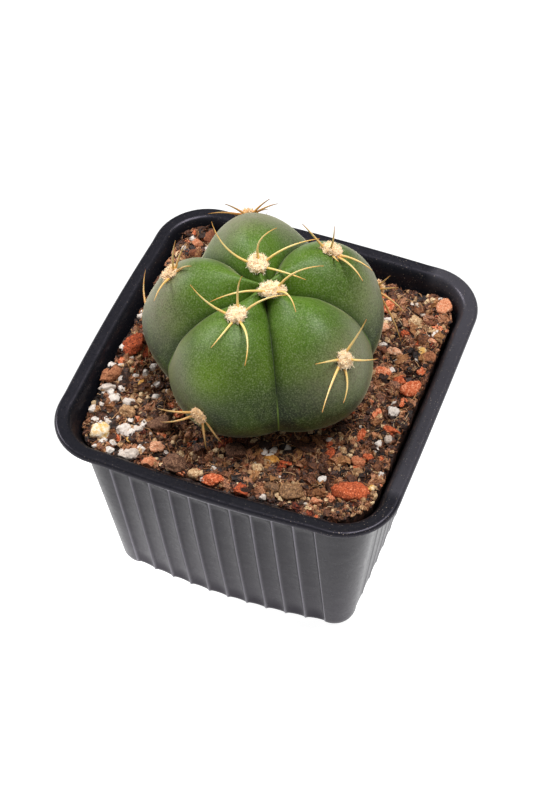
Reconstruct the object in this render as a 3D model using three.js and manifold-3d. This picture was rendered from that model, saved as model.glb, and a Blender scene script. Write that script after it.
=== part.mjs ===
// A round cactus with five broad ribs, in a square black nursery pot filled with gritty soil.
// Millimetres, +Z up. The origin is the centre of the pot's base, on the surface it stands on.
// The pot's four faces look along -Y, +X, +Y and -X.
import * as THREE from 'three';
import { mergeVertices } from 'three/addons/utils/BufferGeometryUtils.js';
import Module from 'manifold-3d';

const wasm = await Module();
wasm.setup();

const DEGREE = Math.PI / 180;

// Pot
const POT_HEIGHT = 55;
const RIM_SIDE = 80;
const RIM_CORNER = 12.9;
const RIM_LIP = 1.6;
const RIM_EDGE_ROUND = 0.5;
const MOUTH_ROUND = 1;
const WALL = 0.8;
const WALL_TOP_SIDE = 72.4;
const BASE_SIDE = 60.6;
const BASE_ROUND = 1.4;
const WALL_BULGE = 1.2;
const WALL_TOP_CORNER = 8.9;
const BASE_CORNER = 5.9;
const CORNER_STEPS = 5;
const FLUTES = 10;
const FLUTE_PITCH = 4.86;
const FLUTE_DEPTH_FOOT = 0.95;
const FLUTE_DEPTH_TOP = 0.7;
const FLUTE_FOOT = 2.6;
const FLUTE_TOP = 47.4;
const FLUTE_STEP = 0.7;
const HOLE_RADIUS = 3;
const HOLE_REACH = 21;

// Soil
const GAP = 0.3;
const SOIL_TOP = 50.2;
const SOIL_FACE_RINGS = 10;
const SOIL_WALL_STRIDE = 5;
const GRAIN_COUNT = 62;
const GRAIN_SEED = 41;
const GRAIN_MIN = 1.8;
const GRAIN_MAX = 3.6;

// Cactus body: one crown, five ribs, a foot that narrows into a taproot
const AXIS_X = -0.4;
const AXIS_Y = -0.4;
const LEAN = 4.1 * DEGREE;
const EQUATOR = 66.1;
const RADIUS = 28;
const CROWN_RISE = 18.4;
const BELLY_DROP = 16;
const CROWN_DIMPLE = 2.3;
const DIMPLE_SPREAD = 0.28;
const FLANK_POWER = 0.68;
const RISE_POWER = 1.08;
const GROOVE_CROWN = 0.3;
const GROOVE_FLANK = 0.21;
const GROOVE_FOOT = 0.12;
const CREST_SINK = 0.29;
const CREST_ROUND = 0.14;
const CREST_POWER_CROWN = 1.8;
const CREST_POWER_EQUATOR = 1.4;
const CROWN_ANGLE = 20;
const FLANK_ANGLE = 65;
const BELLY_ANGLE = 115;
const SHOULDER_ANGLE = 122;
const FOOT_RADIUS = 18.5;
const FOOT_STEPS = 5;
const ROOT_RADIUS = 4.5;
const ROOT_DROP = 27;
const ROOT_TIP_RADIUS = 1.6;
const ROOT_TIP_DROP = 44;
const RIB_STEPS = 6;
const CROWN_STEPS = 13;
const CROWN_REACH = 1.1;
const CROWN_CLOSENESS = 1.15;

// Each rib: where its crest points, how much it swells past the others, how far its crest sweeps
// sideways on the way down
const RIBS = [
  { name: 'left', azimuth: 186.7, swell: 0, sweep: 4.9 },
  { name: 'back', azimuth: 119.6, swell: 0.05, sweep: -4.9 },
  { name: 'right', azimuth: 48.4, swell: -0.03, sweep: -9 },
  { name: 'front_right', azimuth: -24.3, swell: 0, sweep: -4 },
  { name: 'front_left', azimuth: -101.1, swell: 0, sweep: 2.2 },
];
const SWEEP_PIVOT = 60 * DEGREE;

// Areoles. place: 0 at the crown's centre, 1 at the equator, above 1 below it.
// Each spine: clock, the way it points on the skin, with 0 towards the crown and 90 to the right
// as seen from outside; lift from the skin; length in millimetres; bow, the rise of its middle
// off the straight line as a share of the length, positive where it arches away from the skin.
const AREOLES = [
  { rib: 'front_right', place: 0.03, wool: 2.5, stretch: 1.4,
    spines: [[-65, 7, 14.4, 0.08], [131, 25, 12.4, 0.1], [-164, 12, 9.5, 0.16]] },
  { rib: 'back', place: 0.14, wool: 2.8, stretch: 1.15,
    spines: [[130, 39, 13.8, -0.08], [-107, 61, 10.5, 0.18], [-85, 23, 14.8, 0.1],
      [-48, 8, 12, 0.04]] },
  { rib: 'front_left', place: 0.27, wool: 2.6, stretch: 1.1,
    spines: [[-110, 34, 11.9, -0.06], [9, 79, 10.5, -0.05], [54, 27, 12.4, 0.1],
      [176, 0, 10.5, 0.08], [138, -6, 13, 0.14]] },
  { rib: 'right', place: 0.49, wool: 2.7, stretch: 1.15,
    spines: [[21, 32, 11, 0.02], [-14, 66, 8, 0], [-99, 6, 11.5, 0.1], [-107, 15, 11.5, 0.12],
      [-67, 10, 5.5, 0]] },
  { rib: 'left', place: 0.6, wool: 2.4, stretch: 1.1,
    spines: [[-17, 40, 9.5, 0.04], [-18, 25, 9, 0.08], [1, 10, 7, 0.02], [88, 12, 9, 0.1]] },
  { rib: 'front_right', place: 0.69, wool: 2.3, stretch: 1,
    spines: [[32, 43, 11.5, -0.03], [99, 72, 9, 0], [-63, 13, 8.5, 0.03], [-113, 9, 12.5, 0.04],
      [-142, 6, 8.8, 0.08]] },
  { rib: 'back', place: 0.76, wool: 2.2, stretch: 1,
    spines: [[62, 2, 9.8, 0.06], [36, 14, 8, 0.04], [-48, 16, 8, 0.04], [-62, 2, 8, 0.05],
      [150, 12, 8.5, 0.05], [-152, 12, 8.5, 0.05]] },
  { rib: 'front_left', place: 0.95, wool: 2, stretch: 1,
    spines: [[-100, 9, 10, 0.06], [-118, 17, 9.5, 0.04], [143, -2, 9, 0.06], [163, 9, 9, 0.04]] },
  { rib: 'right', place: 1, wool: 2.2, stretch: 1,
    spines: [[-149, 6, 12, 0.05], [-98, 18, 8.5, 0.05], [-59, 30, 6, 0], [-30, 20, 6, 0],
      [135, 20, 8.5, 0.05]] },
  { rib: 'left', place: 1.03, wool: 2.1, stretch: 1,
    spines: [[-45, 7, 10.5, 0.1], [-105, 18, 8, 0.05], [-152, 12, 7.5, 0.05],
      [150, 12, 7.5, 0.05]] },
  { rib: 'back', place: 1.14, wool: 1.9, stretch: 1,
    spines: [[-75, 20, 8.5, 0.04], [-30, 30, 8, 0.04], [35, 26, 8.5, 0.04], [80, 18, 8, 0.04]] },
];
const WOOL_RISE = 0.42;
const SPINE_ROOT_RADIUS = 0.42;
const SPINE_TIP_RADIUS = 0.1;
const SPINE_SINK = 0.9;
const SPINE_STEPS = 4;
const SPINE_SIDES = 3;

// Larger stones that lie in the soil's face: x, y, breadth
const STONES = [
  [28.8, -25.8, 6.4], [5.8, -33, 4], [30.8, 30.6, 4.8], [-31, -3.6, 6.2], [-28, -5.4, 4.4],
  [1.8, -31.6, 3.4], [31.4, 4.8, 4], [28.8, 9.9, 3.4], [33, 13.8, 3.6], [-20.8, -32.4, 4.2],
  [-29.2, -29.2, 4], [-24.9, -27.5, 3.6], [-32, -17.7, 4.4], [-28, 31, 5], [-29.4, 27, 3.6],
];

// A repeatable random draw between 0 and 1
function randomDraw(seed) {
  let state = seed;
  return () => {
    state = (state + 0x6d2b79f5) | 0;
    let mixed = Math.imul(state ^ (state >>> 15), 1 | state);
    mixed = (mixed + Math.imul(mixed ^ (mixed >>> 7), 61 | mixed)) ^ mixed;
    return ((mixed ^ (mixed >>> 14)) >>> 0) / 4294967296;
  };
}

function mix(from, to, share) {
  return from + (to - from) * share;
}

// A skin through rings of equally many points, closed by a fan at each end
function loft(rings, firstCentre, lastCentre) {
  const count = rings[0].length;
  const points = [...rings.flat(), firstCentre, lastCentre];
  const first = points.length - 2;
  const last = points.length - 1;
  const index = [];
  for (let i = 0; i < count; i += 1) {
    const next = (i + 1) % count;
    index.push(first, next, i);
    for (let ring = 0; ring < rings.length - 1; ring += 1) {
      const low = ring * count;
      const high = low + count;
      index.push(low + i, low + next, high + next);
      index.push(low + i, high + next, high + i);
    }
    const end = (rings.length - 1) * count;
    index.push(end + i, end + next, last);
  }
  const geometry = new THREE.BufferGeometry().setFromPoints(points);
  geometry.setIndex(index);
  return geometry;
}

function toSolid(geometry) {
  const bare = geometry.clone();
  bare.deleteAttribute('normal');
  bare.deleteAttribute('uv');
  const merged = mergeVertices(bare, 1e-4);
  return new wasm.Manifold(new wasm.Mesh({
    numProp: 3,
    vertProperties: Float32Array.from(merged.attributes.position.array),
    triVerts: Uint32Array.from(merged.index.array),
  }));
}

function toGeometry(solid) {
  const mesh = solid.getMesh();
  const geometry = new THREE.BufferGeometry();
  geometry.setAttribute('position', new THREE.Float32BufferAttribute(mesh.vertProperties, 3));
  geometry.setIndex([...mesh.triVerts]);
  return geometry;
}

// Pieces of a tree of solids joined two by two, which stays quick with many small ones
function joinAll(solids) {
  let level = solids;
  while (level.length > 1) {
    const next = [];
    for (let i = 0; i < level.length; i += 2) {
      next.push(i + 1 < level.length ? level[i].add(level[i + 1]) : level[i]);
    }
    level = next;
  }
  return level[0];
}

// The largest body of a solid, without the scraps that a cut leaves loose
function mainBody(solid) {
  return solid.decompose().reduce((best, body) => (body.volume() > best.volume() ? body : best));
}

// One ring of the pot's plan at a height: four straight walls, each with its flutes and its
// slight bulge, and a round corner after each wall
function potRing({ side, corner, z, flute = 0, bulge = 0 }) {
  const half = side / 2;
  const straight = half - corner;
  const field = FLUTES * FLUTE_PITCH / 2;
  const ring = [];
  for (let wall = 0; wall < 4; wall += 1) {
    const turn = wall * 90 * DEGREE;
    const place = (x, y) => new THREE.Vector3(
      x * Math.cos(turn) - y * Math.sin(turn),
      x * Math.sin(turn) + y * Math.cos(turn),
      z,
    );
    const wallSteps = FLUTES * 3;
    for (let step = 0; step <= wallSteps; step += 1) {
      const along = step / wallSteps * 2 - 1;
      const dent = step % 3 === 0 ? 0 : flute;
      const swell = bulge * (1 - along * along);
      ring.push(place(along * field, -half + dent - swell));
    }
    for (let step = 0; step <= CORNER_STEPS; step += 1) {
      const angle = (step / CORNER_STEPS - 1) * 90 * DEGREE;
      const x = straight + corner * Math.cos(angle);
      const y = -half + corner + corner * Math.sin(angle);
      ring.push(place(x, y));
    }
  }
  return ring;
}

// The wall's plan at a height, outside at inset 0
function wallRing(z, inset, flute = 0) {
  const rise = z / POT_HEIGHT;
  const side = mix(BASE_SIDE, WALL_TOP_SIDE, rise) - 2 * inset;
  const corner = mix(BASE_CORNER, WALL_TOP_CORNER, rise) - inset;
  const bulge = WALL_BULGE * Math.sin(Math.PI * rise);
  return potRing({ side, corner, z, flute, bulge });
}

function fluteDepth(z) {
  return mix(FLUTE_DEPTH_FOOT, FLUTE_DEPTH_TOP, z / POT_HEIGHT);
}

function flatRing(side, corner, z) {
  return potRing({ side, corner, z });
}

// One thin shell: foot, fluted wall, plain band, flange with a short lip, and the inside back down
function makePot() {
  const middle = POT_HEIGHT * 0.45;
  const mouthSide = WALL_TOP_SIDE - 2 * WALL;
  const mouthCorner = WALL_TOP_CORNER - WALL;
  const outside = [
    flatRing(BASE_SIDE - 2 * BASE_ROUND, BASE_CORNER - BASE_ROUND, 0),
    wallRing(BASE_ROUND * 0.4, BASE_ROUND * 0.25, fluteDepth(0) * 0.6),
    wallRing(FLUTE_FOOT, 0, fluteDepth(FLUTE_FOOT)),
    wallRing(middle, 0, fluteDepth(middle)),
    wallRing(FLUTE_TOP, 0, fluteDepth(FLUTE_TOP)),
    wallRing(FLUTE_TOP + FLUTE_STEP, -0.1),
    wallRing(POT_HEIGHT - RIM_LIP + WALL * 0.4, 0),
  ];
  const flange = [
    flatRing(RIM_SIDE, RIM_CORNER, POT_HEIGHT - RIM_LIP),
    flatRing(RIM_SIDE, RIM_CORNER, POT_HEIGHT - RIM_EDGE_ROUND),
    flatRing(RIM_SIDE - 2 * RIM_EDGE_ROUND, RIM_CORNER - RIM_EDGE_ROUND, POT_HEIGHT),
    flatRing(mouthSide + 2 * MOUTH_ROUND, mouthCorner + MOUTH_ROUND, POT_HEIGHT),
    flatRing(mouthSide + 0.6 * MOUTH_ROUND, mouthCorner + 0.3 * MOUTH_ROUND, POT_HEIGHT - 0.3),
    wallRing(POT_HEIGHT - MOUTH_ROUND, WALL),
  ];
  const inside = [
    wallRing(FLUTE_TOP + FLUTE_STEP, WALL - 0.1),
    wallRing(FLUTE_TOP, WALL, fluteDepth(FLUTE_TOP)),
    wallRing(middle, WALL, fluteDepth(middle)),
    wallRing(FLUTE_FOOT, WALL, fluteDepth(FLUTE_FOOT)),
    wallRing(WALL, BASE_ROUND, 0),
  ];
  const rings = [...outside, ...flange, ...inside];
  const bottom = new THREE.Vector3(0, 0, 0);
  const floor = new THREE.Vector3(0, 0, WALL);
  const holes = [];
  for (let i = 0; i < 8; i += 1) {
    const reach = i % 2 === 0 ? HOLE_REACH : HOLE_REACH * 1.12;
    const hole = new THREE.CylinderGeometry(HOLE_RADIUS, HOLE_RADIUS, 4 * WALL, 12);
    hole.rotateX(90 * DEGREE);
    hole.translate(reach * Math.cos(i * 45 * DEGREE), reach * Math.sin(i * 45 * DEGREE), 0);
    holes.push(toSolid(hole));
  }
  return toGeometry(toSolid(loft(rings, bottom, floor)).subtract(joinAll(holes)));
}

// The loose surface of the mix: low waves, a little higher at the front and round the plant
function soilHeight(x, y) {
  const waves = 0.45 * Math.sin(x * 0.31 + 1.1) * Math.cos(y * 0.27 - 0.6)
    + 0.3 * Math.sin(x * 0.83 - y * 0.71) + 0.2 * Math.cos(x * 1.3 + y * 1.1 + 2);
  const mound = 1.1 * Math.exp(-(x * x + y * y) / 300);
  return SOIL_TOP + waves + mound - y * 0.012;
}

// A stone or crumb: an icosahedron of uneven breadth, turned at random and sunk in the mix
function makeGrain(x, y, breadth, draw) {
  const grain = new THREE.IcosahedronGeometry(breadth / 2, 0);
  grain.scale(mix(0.8, 1.15, draw()), mix(0.7, 1, draw()), mix(0.6, 0.8, draw()));
  grain.rotateX(mix(-0.4, 0.4, draw()));
  grain.rotateY(mix(-0.4, 0.4, draw()));
  grain.rotateZ(draw() * 2 * Math.PI);
  grain.translate(x, y, soilHeight(x, y) + breadth * mix(0.02, 0.16, draw()));
  return toSolid(grain);
}

// The soil's sides are smooth, so it keeps every corner point but few along the walls
function keepForSoil(point, i) {
  const wallSteps = FLUTES * 3;
  const place = i % (wallSteps + CORNER_STEPS + 2);
  return place > wallSteps || place % SOIL_WALL_STRIDE === 0;
}

function makeSoil(plantHole) {
  const clear = WALL + GAP;
  const fluted = clear + FLUTE_DEPTH_FOOT;
  const topInset = clear + 0.1;
  const rings = [
    wallRing(clear, clear + BASE_ROUND),
    wallRing(FLUTE_FOOT, fluted),
    wallRing(POT_HEIGHT * 0.5, fluted),
    wallRing(FLUTE_TOP - 0.5, fluted),
    wallRing(FLUTE_TOP + FLUTE_STEP, topInset),
  ];
  const edge = wallRing(SOIL_TOP - 0.6, topInset);
  for (let ring = 0; ring < SOIL_FACE_RINGS; ring += 1) {
    const share = 1 - ring / SOIL_FACE_RINGS;
    rings.push(edge.map((point) => {
      const x = point.x * share;
      const y = point.y * share;
      return new THREE.Vector3(x, y, soilHeight(x, y));
    }));
  }
  const thinned = rings.map((ring) => ring.filter(keepForSoil));
  const under = new THREE.Vector3(0, 0, clear);
  const top = new THREE.Vector3(0, 0, soilHeight(0, 0));
  const draw = randomDraw(GRAIN_SEED);
  const reach = WALL_TOP_SIDE / 2 - clear - 1;
  const grains = STONES.map(([x, y, breadth]) => makeGrain(x, y, breadth, draw));
  while (grains.length < STONES.length + GRAIN_COUNT) {
    const x = mix(-reach, reach, draw());
    const y = mix(-reach, reach, draw());
    const breadth = mix(GRAIN_MIN, GRAIN_MAX, draw() * draw());
    const underPlant = Math.hypot(x - AXIS_X, y - AXIS_Y) < FOOT_RADIUS + GRAIN_MAX / 2;
    if (!underPlant) {
      grains.push(makeGrain(x, y, breadth, draw));
    }
  }
  const mouthRings = [wallRing(FLUTE_TOP, topInset), wallRing(POT_HEIGHT, topInset)];
  const centres = mouthRings.map((ring) => new THREE.Vector3(0, 0, ring[0].z));
  const mouth = toSolid(loft(mouthRings, ...centres));
  const mixture = toSolid(loft(thinned, under, top)).add(joinAll(grains).intersect(mouth));
  return toGeometry(mainBody(mixture.subtract(plantHole)));
}

// How far the groove cuts into the body at a polar angle in degrees, as a share of the radius
function grooveDepth(angle) {
  if (angle < FLANK_ANGLE) {
    const share = THREE.MathUtils.smoothstep(angle, CROWN_ANGLE, FLANK_ANGLE);
    return mix(GROOVE_CROWN, GROOVE_FLANK, share);
  }
  const share = THREE.MathUtils.smoothstep(angle, FLANK_ANGLE, BELLY_ANGLE);
  return mix(GROOVE_FLANK, GROOVE_FOOT, share);
}

// The section from a rib's crest, 0, to the groove beside it, 1, with a softly rounded crest
function ribShape(across, angle) {
  const share = THREE.MathUtils.smoothstep(angle, CROWN_ANGLE, 90);
  const power = mix(CREST_POWER_CROWN, CREST_POWER_EQUATOR, share);
  const rounded = (across * across + CREST_ROUND * CREST_ROUND) ** (power / 2);
  const base = CREST_ROUND ** power;
  const full = (1 + CREST_ROUND * CREST_ROUND) ** (power / 2);
  return (rounded - base) / (full - base);
}

// The crest's direction at a polar angle, sweeping slightly on its way down
function crestAzimuth(rib, angle) {
  return (rib.azimuth + rib.sweep * (angle * DEGREE - SWEEP_PIVOT)) * DEGREE;
}

// The plan of the body at one level, counterclockwise; grow pushes it outwards
function bodyRing({ radius, height, groove, sink, angle }, grow) {
  const ring = [];
  RIBS.forEach((rib, k) => {
    const before = RIBS[(k + 4) % 5];
    const after = RIBS[(k + 1) % 5];
    const here = crestAzimuth(rib, angle);
    const steps = 2 * RIB_STEPS;
    for (let step = 0; step < steps; step += 1) {
      const across = step / RIB_STEPS - 1;
      const side = across < 0 ? before : after;
      let turn = crestAzimuth(side, angle) - here;
      turn -= Math.round(turn / (2 * Math.PI)) * 2 * Math.PI;
      const azimuth = here + Math.abs(across) * turn / 2;
      const shape = ribShape(across, angle);
      const swell = 1 + mix(rib.swell, (rib.swell + side.swell) / 2, Math.abs(across));
      const reach = radius * swell * (1 - groove * shape) + grow;
      ring.push(new THREE.Vector3(
        reach * Math.cos(azimuth),
        reach * Math.sin(azimuth),
        height - sink * shape,
      ));
    }
  });
  return ring.reverse();
}

// The body's levels from the crown to the root's tip
function crownLevel(angle) {
  const turn = angle * DEGREE;
  const rise = Math.sign(Math.cos(turn)) * Math.abs(Math.cos(turn)) ** RISE_POWER;
  const dimple = CROWN_DIMPLE * Math.exp(-((turn / DIMPLE_SPREAD) ** 2));
  return {
    radius: RADIUS * Math.sin(turn) ** FLANK_POWER,
    height: (angle < 90 ? CROWN_RISE : BELLY_DROP) * rise - dimple,
    groove: grooveDepth(angle),
    sink: CROWN_RISE * CREST_SINK * Math.max(Math.cos(turn), 0),
    angle,
  };
}

function placeAngle(place) {
  return 90 * place ** (1 / FLANK_POWER);
}

function bodyLevels() {
  const levels = [];
  for (let step = 1; step <= CROWN_STEPS; step += 1) {
    const place = CROWN_REACH * (step / CROWN_STEPS) ** CROWN_CLOSENESS;
    levels.push(crownLevel(placeAngle(place)));
  }
  const shoulder = crownLevel(SHOULDER_ANGLE);
  levels.push(shoulder);
  const foot = new THREE.CubicBezierCurve(
    new THREE.Vector2(shoulder.radius, shoulder.height),
    new THREE.Vector2(FOOT_RADIUS, -BELLY_DROP),
    new THREE.Vector2(2 * ROOT_RADIUS, mix(-BELLY_DROP, -ROOT_DROP, 0.55)),
    new THREE.Vector2(ROOT_RADIUS, -ROOT_DROP),
  );
  for (let step = 1; step <= FOOT_STEPS; step += 1) {
    const point = foot.getPoint(step / FOOT_STEPS);
    const groove = GROOVE_FOOT * (1 - step / FOOT_STEPS);
    levels.push({ radius: point.x, height: point.y, groove, sink: 0, angle: SHOULDER_ANGLE });
  }
  levels.push({
    radius: ROOT_TIP_RADIUS, height: -ROOT_TIP_DROP, groove: 0, sink: 0, angle: SHOULDER_ANGLE,
  });
  return levels;
}

// From the body's own axes to the pot's: the plant leans a little towards the front
function plantMatrix() {
  const matrix = new THREE.Matrix4().makeRotationX(LEAN);
  matrix.setPosition(AXIS_X, AXIS_Y, EQUATOR);
  return matrix;
}

function makeBody(grow) {
  const levels = bodyLevels();
  const crown = new THREE.Vector3(0, 0, levels[0].height - 0.5 + grow);
  const tip = new THREE.Vector3(0, 0, -ROOT_TIP_DROP - 1 - grow);
  const rings = levels.map((level) => bodyRing(level, grow)).reverse();
  const skin = loft(rings, tip, crown);
  skin.applyMatrix4(plantMatrix());
  return skin;
}

// A point on a rib's crest with the directions out of the skin, up the rib and to the right
function crestFrame(ribName, place) {
  const rib = RIBS.find((item) => item.name === ribName);
  const at = (angle) => {
    const level = crownLevel(angle);
    const azimuth = crestAzimuth(rib, angle);
    const reach = level.radius * (1 + rib.swell);
    return new THREE.Vector3(
      reach * Math.cos(azimuth), reach * Math.sin(azimuth), level.height,
    );
  };
  const angle = placeAngle(place);
  const point = at(angle);
  const up = at(angle * 0.97).sub(at(angle * 1.03)).normalize();
  const azimuth = crestAzimuth(rib, angle);
  const right = new THREE.Vector3(-Math.sin(azimuth), Math.cos(azimuth), 0);
  const out = new THREE.Vector3().crossVectors(right, up).normalize();
  return { point, up, right, out };
}

// The woolly cushion of an areole, half sunk in the skin
function makeWool(frame, areole) {
  const wool = new THREE.IcosahedronGeometry(1, 1);
  wool.scale(areole.wool * 0.9, areole.wool * areole.stretch * 0.9, areole.wool * WOOL_RISE);
  const basis = new THREE.Matrix4().makeBasis(frame.right, frame.up, frame.out);
  basis.setPosition(frame.point);
  wool.applyMatrix4(basis);
  wool.applyMatrix4(plantMatrix());
  return toSolid(wool);
}

// A curved tapering spine, its root sunk in the cushion
function makeSpine(frame, [clock, lift, length, bow]) {
  const alongSkin = frame.up.clone().multiplyScalar(Math.cos(clock * DEGREE))
    .addScaledVector(frame.right, Math.sin(clock * DEGREE));
  const direction = alongSkin.clone().multiplyScalar(Math.cos(lift * DEGREE))
    .addScaledVector(frame.out, Math.sin(lift * DEGREE));
  const across = new THREE.Vector3().crossVectors(direction, frame.out).normalize();
  const arch = new THREE.Vector3().crossVectors(across, direction).normalize();
  const rings = [];
  for (let step = 0; step <= SPINE_STEPS; step += 1) {
    const share = step / SPINE_STEPS;
    const radius = mix(SPINE_ROOT_RADIUS, SPINE_TIP_RADIUS, share);
    const centre = frame.point.clone()
      .addScaledVector(frame.out, -SPINE_SINK * (1 - share))
      .addScaledVector(direction, length * share)
      .addScaledVector(arch, bow * length * 4 * share * (1 - share));
    const ring = [];
    for (let side = 0; side < SPINE_SIDES; side += 1) {
      const angle = side / SPINE_SIDES * 2 * Math.PI;
      ring.push(centre.clone()
        .addScaledVector(arch, radius * Math.cos(angle))
        .addScaledVector(across, radius * Math.sin(angle)));
    }
    rings.push(ring);
  }
  const root = rings[0].reduce((sum, point) => sum.add(point), new THREE.Vector3());
  const tip = rings[SPINE_STEPS].reduce((sum, point) => sum.add(point), new THREE.Vector3());
  root.divideScalar(SPINE_SIDES);
  tip.divideScalar(SPINE_SIDES).addScaledVector(direction, 0.4);
  const spine = loft(rings, root, tip);
  spine.applyMatrix4(plantMatrix());
  return toSolid(spine);
}

function makeCactus() {
  const pieces = [toSolid(makeBody(0))];
  AREOLES.forEach((areole) => {
    const frame = crestFrame(areole.rib, areole.place);
    pieces.push(makeWool(frame, areole));
    areole.spines.forEach((spine) => pieces.push(makeSpine(frame, spine)));
  });
  return toGeometry(joinAll(pieces));
}

function makePiece(name, geometry, color, roughness) {
  geometry.computeVertexNormals();
  const material = new THREE.MeshStandardMaterial({ color, roughness, metalness: 0 });
  const mesh = new THREE.Mesh(geometry, material);
  mesh.name = name;
  return mesh;
}

const plant = new THREE.Group();
plant.add(makePiece('pot', makePot(), 0x1d1e22, 0.42));
plant.add(makePiece('soil', makeSoil(toSolid(makeBody(GAP))), 0x4a3426, 0.95));
plant.add(makePiece('cactus', makeCactus(), 0x4f6f35, 0.6));

export default plant;
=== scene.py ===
"""A round cactus with five broad ribs, in a square black nursery pot filled with gritty soil.

Lengths are millimetres until a piece is finished, when its mesh is scaled to metres.
+Z is up, and the origin is the centre of the pot's base."""
import math
import random

import bmesh
import bpy
import numpy as np
from mathutils import Matrix, Vector


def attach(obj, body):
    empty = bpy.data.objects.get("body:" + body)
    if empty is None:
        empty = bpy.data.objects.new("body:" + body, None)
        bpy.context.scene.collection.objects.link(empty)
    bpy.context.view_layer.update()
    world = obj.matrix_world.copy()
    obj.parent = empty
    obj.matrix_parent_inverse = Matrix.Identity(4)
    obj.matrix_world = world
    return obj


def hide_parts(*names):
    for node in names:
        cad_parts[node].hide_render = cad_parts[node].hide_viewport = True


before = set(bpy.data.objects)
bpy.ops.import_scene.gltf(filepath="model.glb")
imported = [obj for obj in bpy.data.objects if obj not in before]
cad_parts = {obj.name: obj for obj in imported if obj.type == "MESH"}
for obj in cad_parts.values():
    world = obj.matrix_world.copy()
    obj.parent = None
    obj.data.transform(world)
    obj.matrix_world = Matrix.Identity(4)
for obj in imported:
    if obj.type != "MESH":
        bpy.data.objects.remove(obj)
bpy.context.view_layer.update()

MM = 0.001
BODY = "root"

# Pot. Groups of four are for the front, right, back and left walls
POT_HEIGHT = 55
RIM_SIDE = 80
RIM_CORNER = 12.9
RIM_LIP = 1.2
LIP_FOOT = POT_HEIGHT - RIM_LIP
WALL = 0.8
WALL_TOP_SIDE = 71.4
WALL_TOP_CORNER = 9.6
WALL_BULGE = 0.5
WALL_LEVELS = 14
BASE_SIDE = 59.6
BASE_CORNER = 5.1
BASE_ROUND = 1.4
BASE_ROUND_ANGLES = (0, 30, 60, 90)
FLOOR_ROUND = 0.6
FOOT_BULGES = (1.8, 0.4, 0.5, 0.3)
RIM_BULGES = (0.8, 0.1, 0.5, 0.5)
RIM_HIGHLIGHTS = (1, 3.5, 1, 1)
RIM_HIGHLIGHT_LIMIT = 0.35
BAND_SWELL = 0.08
BAND_TOP_SWELL = 0.1
BAND_TOP = LIP_FOOT - 2.2
FLUTES = 10
FLUTE_PITCH = 4.86
FLUTE_SHARES = (1.2, 0.3, 1, 1)
FLUTE_SHIFT = -1.2
FLUTE_DEPTH_FOOT = 1
FLUTE_DEPTH_TOP = 0.8
FLUTE_FOOT_SHARES = (0.15, 0.7)
FLUTE_FOOT = 2.6
FLUTE_TOP = 45.3
FLUTE_EDGE = 0.35
FLUTE_STEP = 0.7
FLUTE_SAMPLES = 16
FLUTE_CROWDING = 0.8
CREST_WIDTH = 0.13
HIGHLIT_CREST_DEPTH = 0.3
TROUGH_BELLY = 0.5
CORNER_STEPS = 14
HOLES = 8
HOLE_RADIUS = 3
HOLE_REACH = 21
HOLE_SIDES = 24
CORNER_HOLE_SHARE = 1.12

# How the flutes run out into the plain band: height in flute steps above their top, inset of the
# # wall, share of the flutes' depth, and the share of painted highlight, a pale line where they end
FLUTE_END = [
    (0.35, 0, 0.7, 0.9), (0.8, -0.05, 0.12, 1), (1, -BAND_SWELL, 0.01, 1),
    (1.5, -BAND_SWELL, 0, 0),
]

# The rim's section from under the flange, round its lip, over its flat and down into the flared
# # mouth: inset from the rim's edge, height, and the share of painted highlight and reflection
RIM_SECTION = [
    (3.3, LIP_FOOT - 0.5, 0), (2.9, LIP_FOOT + 0.1, 0), (2.5, LIP_FOOT + 0.35, 0),
    (1.2, LIP_FOOT + 0.3, 0), (0.5, LIP_FOOT + 0.05, 0.2), (0.15, LIP_FOOT, 0.45),
    (0, LIP_FOOT + 0.2, 0.45), (0, POT_HEIGHT - 0.8, 0.4), (0.12, POT_HEIGHT - 0.45, 0.3),
    (0.4, POT_HEIGHT - 0.16, 0.1), (0.8, POT_HEIGHT, 0.1), (1.2, POT_HEIGHT - 0.1, 0.1),
    (2.4, POT_HEIGHT - 0.1, 0.1), (2.9, POT_HEIGHT - 0.22, 0.1), (3.3, POT_HEIGHT - 0.5, 0.09),
    (3.65, POT_HEIGHT - 0.95, 0.09), (4.1, POT_HEIGHT - 1.9, 0.08), (4.6, POT_HEIGHT - 3.2, 0.04),
]

# Soil. Its face is a square with round corners, and its grains stop at the limit, within the wall
SOIL_TOP = 50.2
SOIL_SIDE = 70
SOIL_CORNER = 8.4
SOIL_LIMIT = 34.6
LEAST_REACH = 0.001
SOIL_CLEARANCE = 0.3
SOIL_SLOPE = 0.012
BED_RINGS = 46
BED_TINT = 0.2
BED_FLUTE_DROP = 0.5
BED_BAND_INSET = 0.1
BED_EDGE_DROP = 0.6
FACE_STEP = 0.9
FACE_CLEARANCE = 0.2
GRAIN_CLEARANCE = 0.6
PLANT_FOOT = 15.5
PALE_SHARE = 0.12
PALE_REACH = (8, 26)

# Mounds and hollows of the soil's face: middle x and y, height, and spread squared
SOIL_MOUNDS = [(0, 0, 1.1, 300), (-27, 28, 0.9, 90), (-34, -27, -0.7, 90)]
# Banks of soil along the left wall, by height and by where each begins and is full from front to
# back, then how far out they begin and are full, and the same for the bank on the right
LEFT_BANKS = [(1.6, -28, -14), (1.2, -5, 15)]
LEFT_BANK_REACH = (20, 34)
RIGHT_BANK = 1.9
RIGHT_BANK_REACH = (24, 34)

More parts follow.
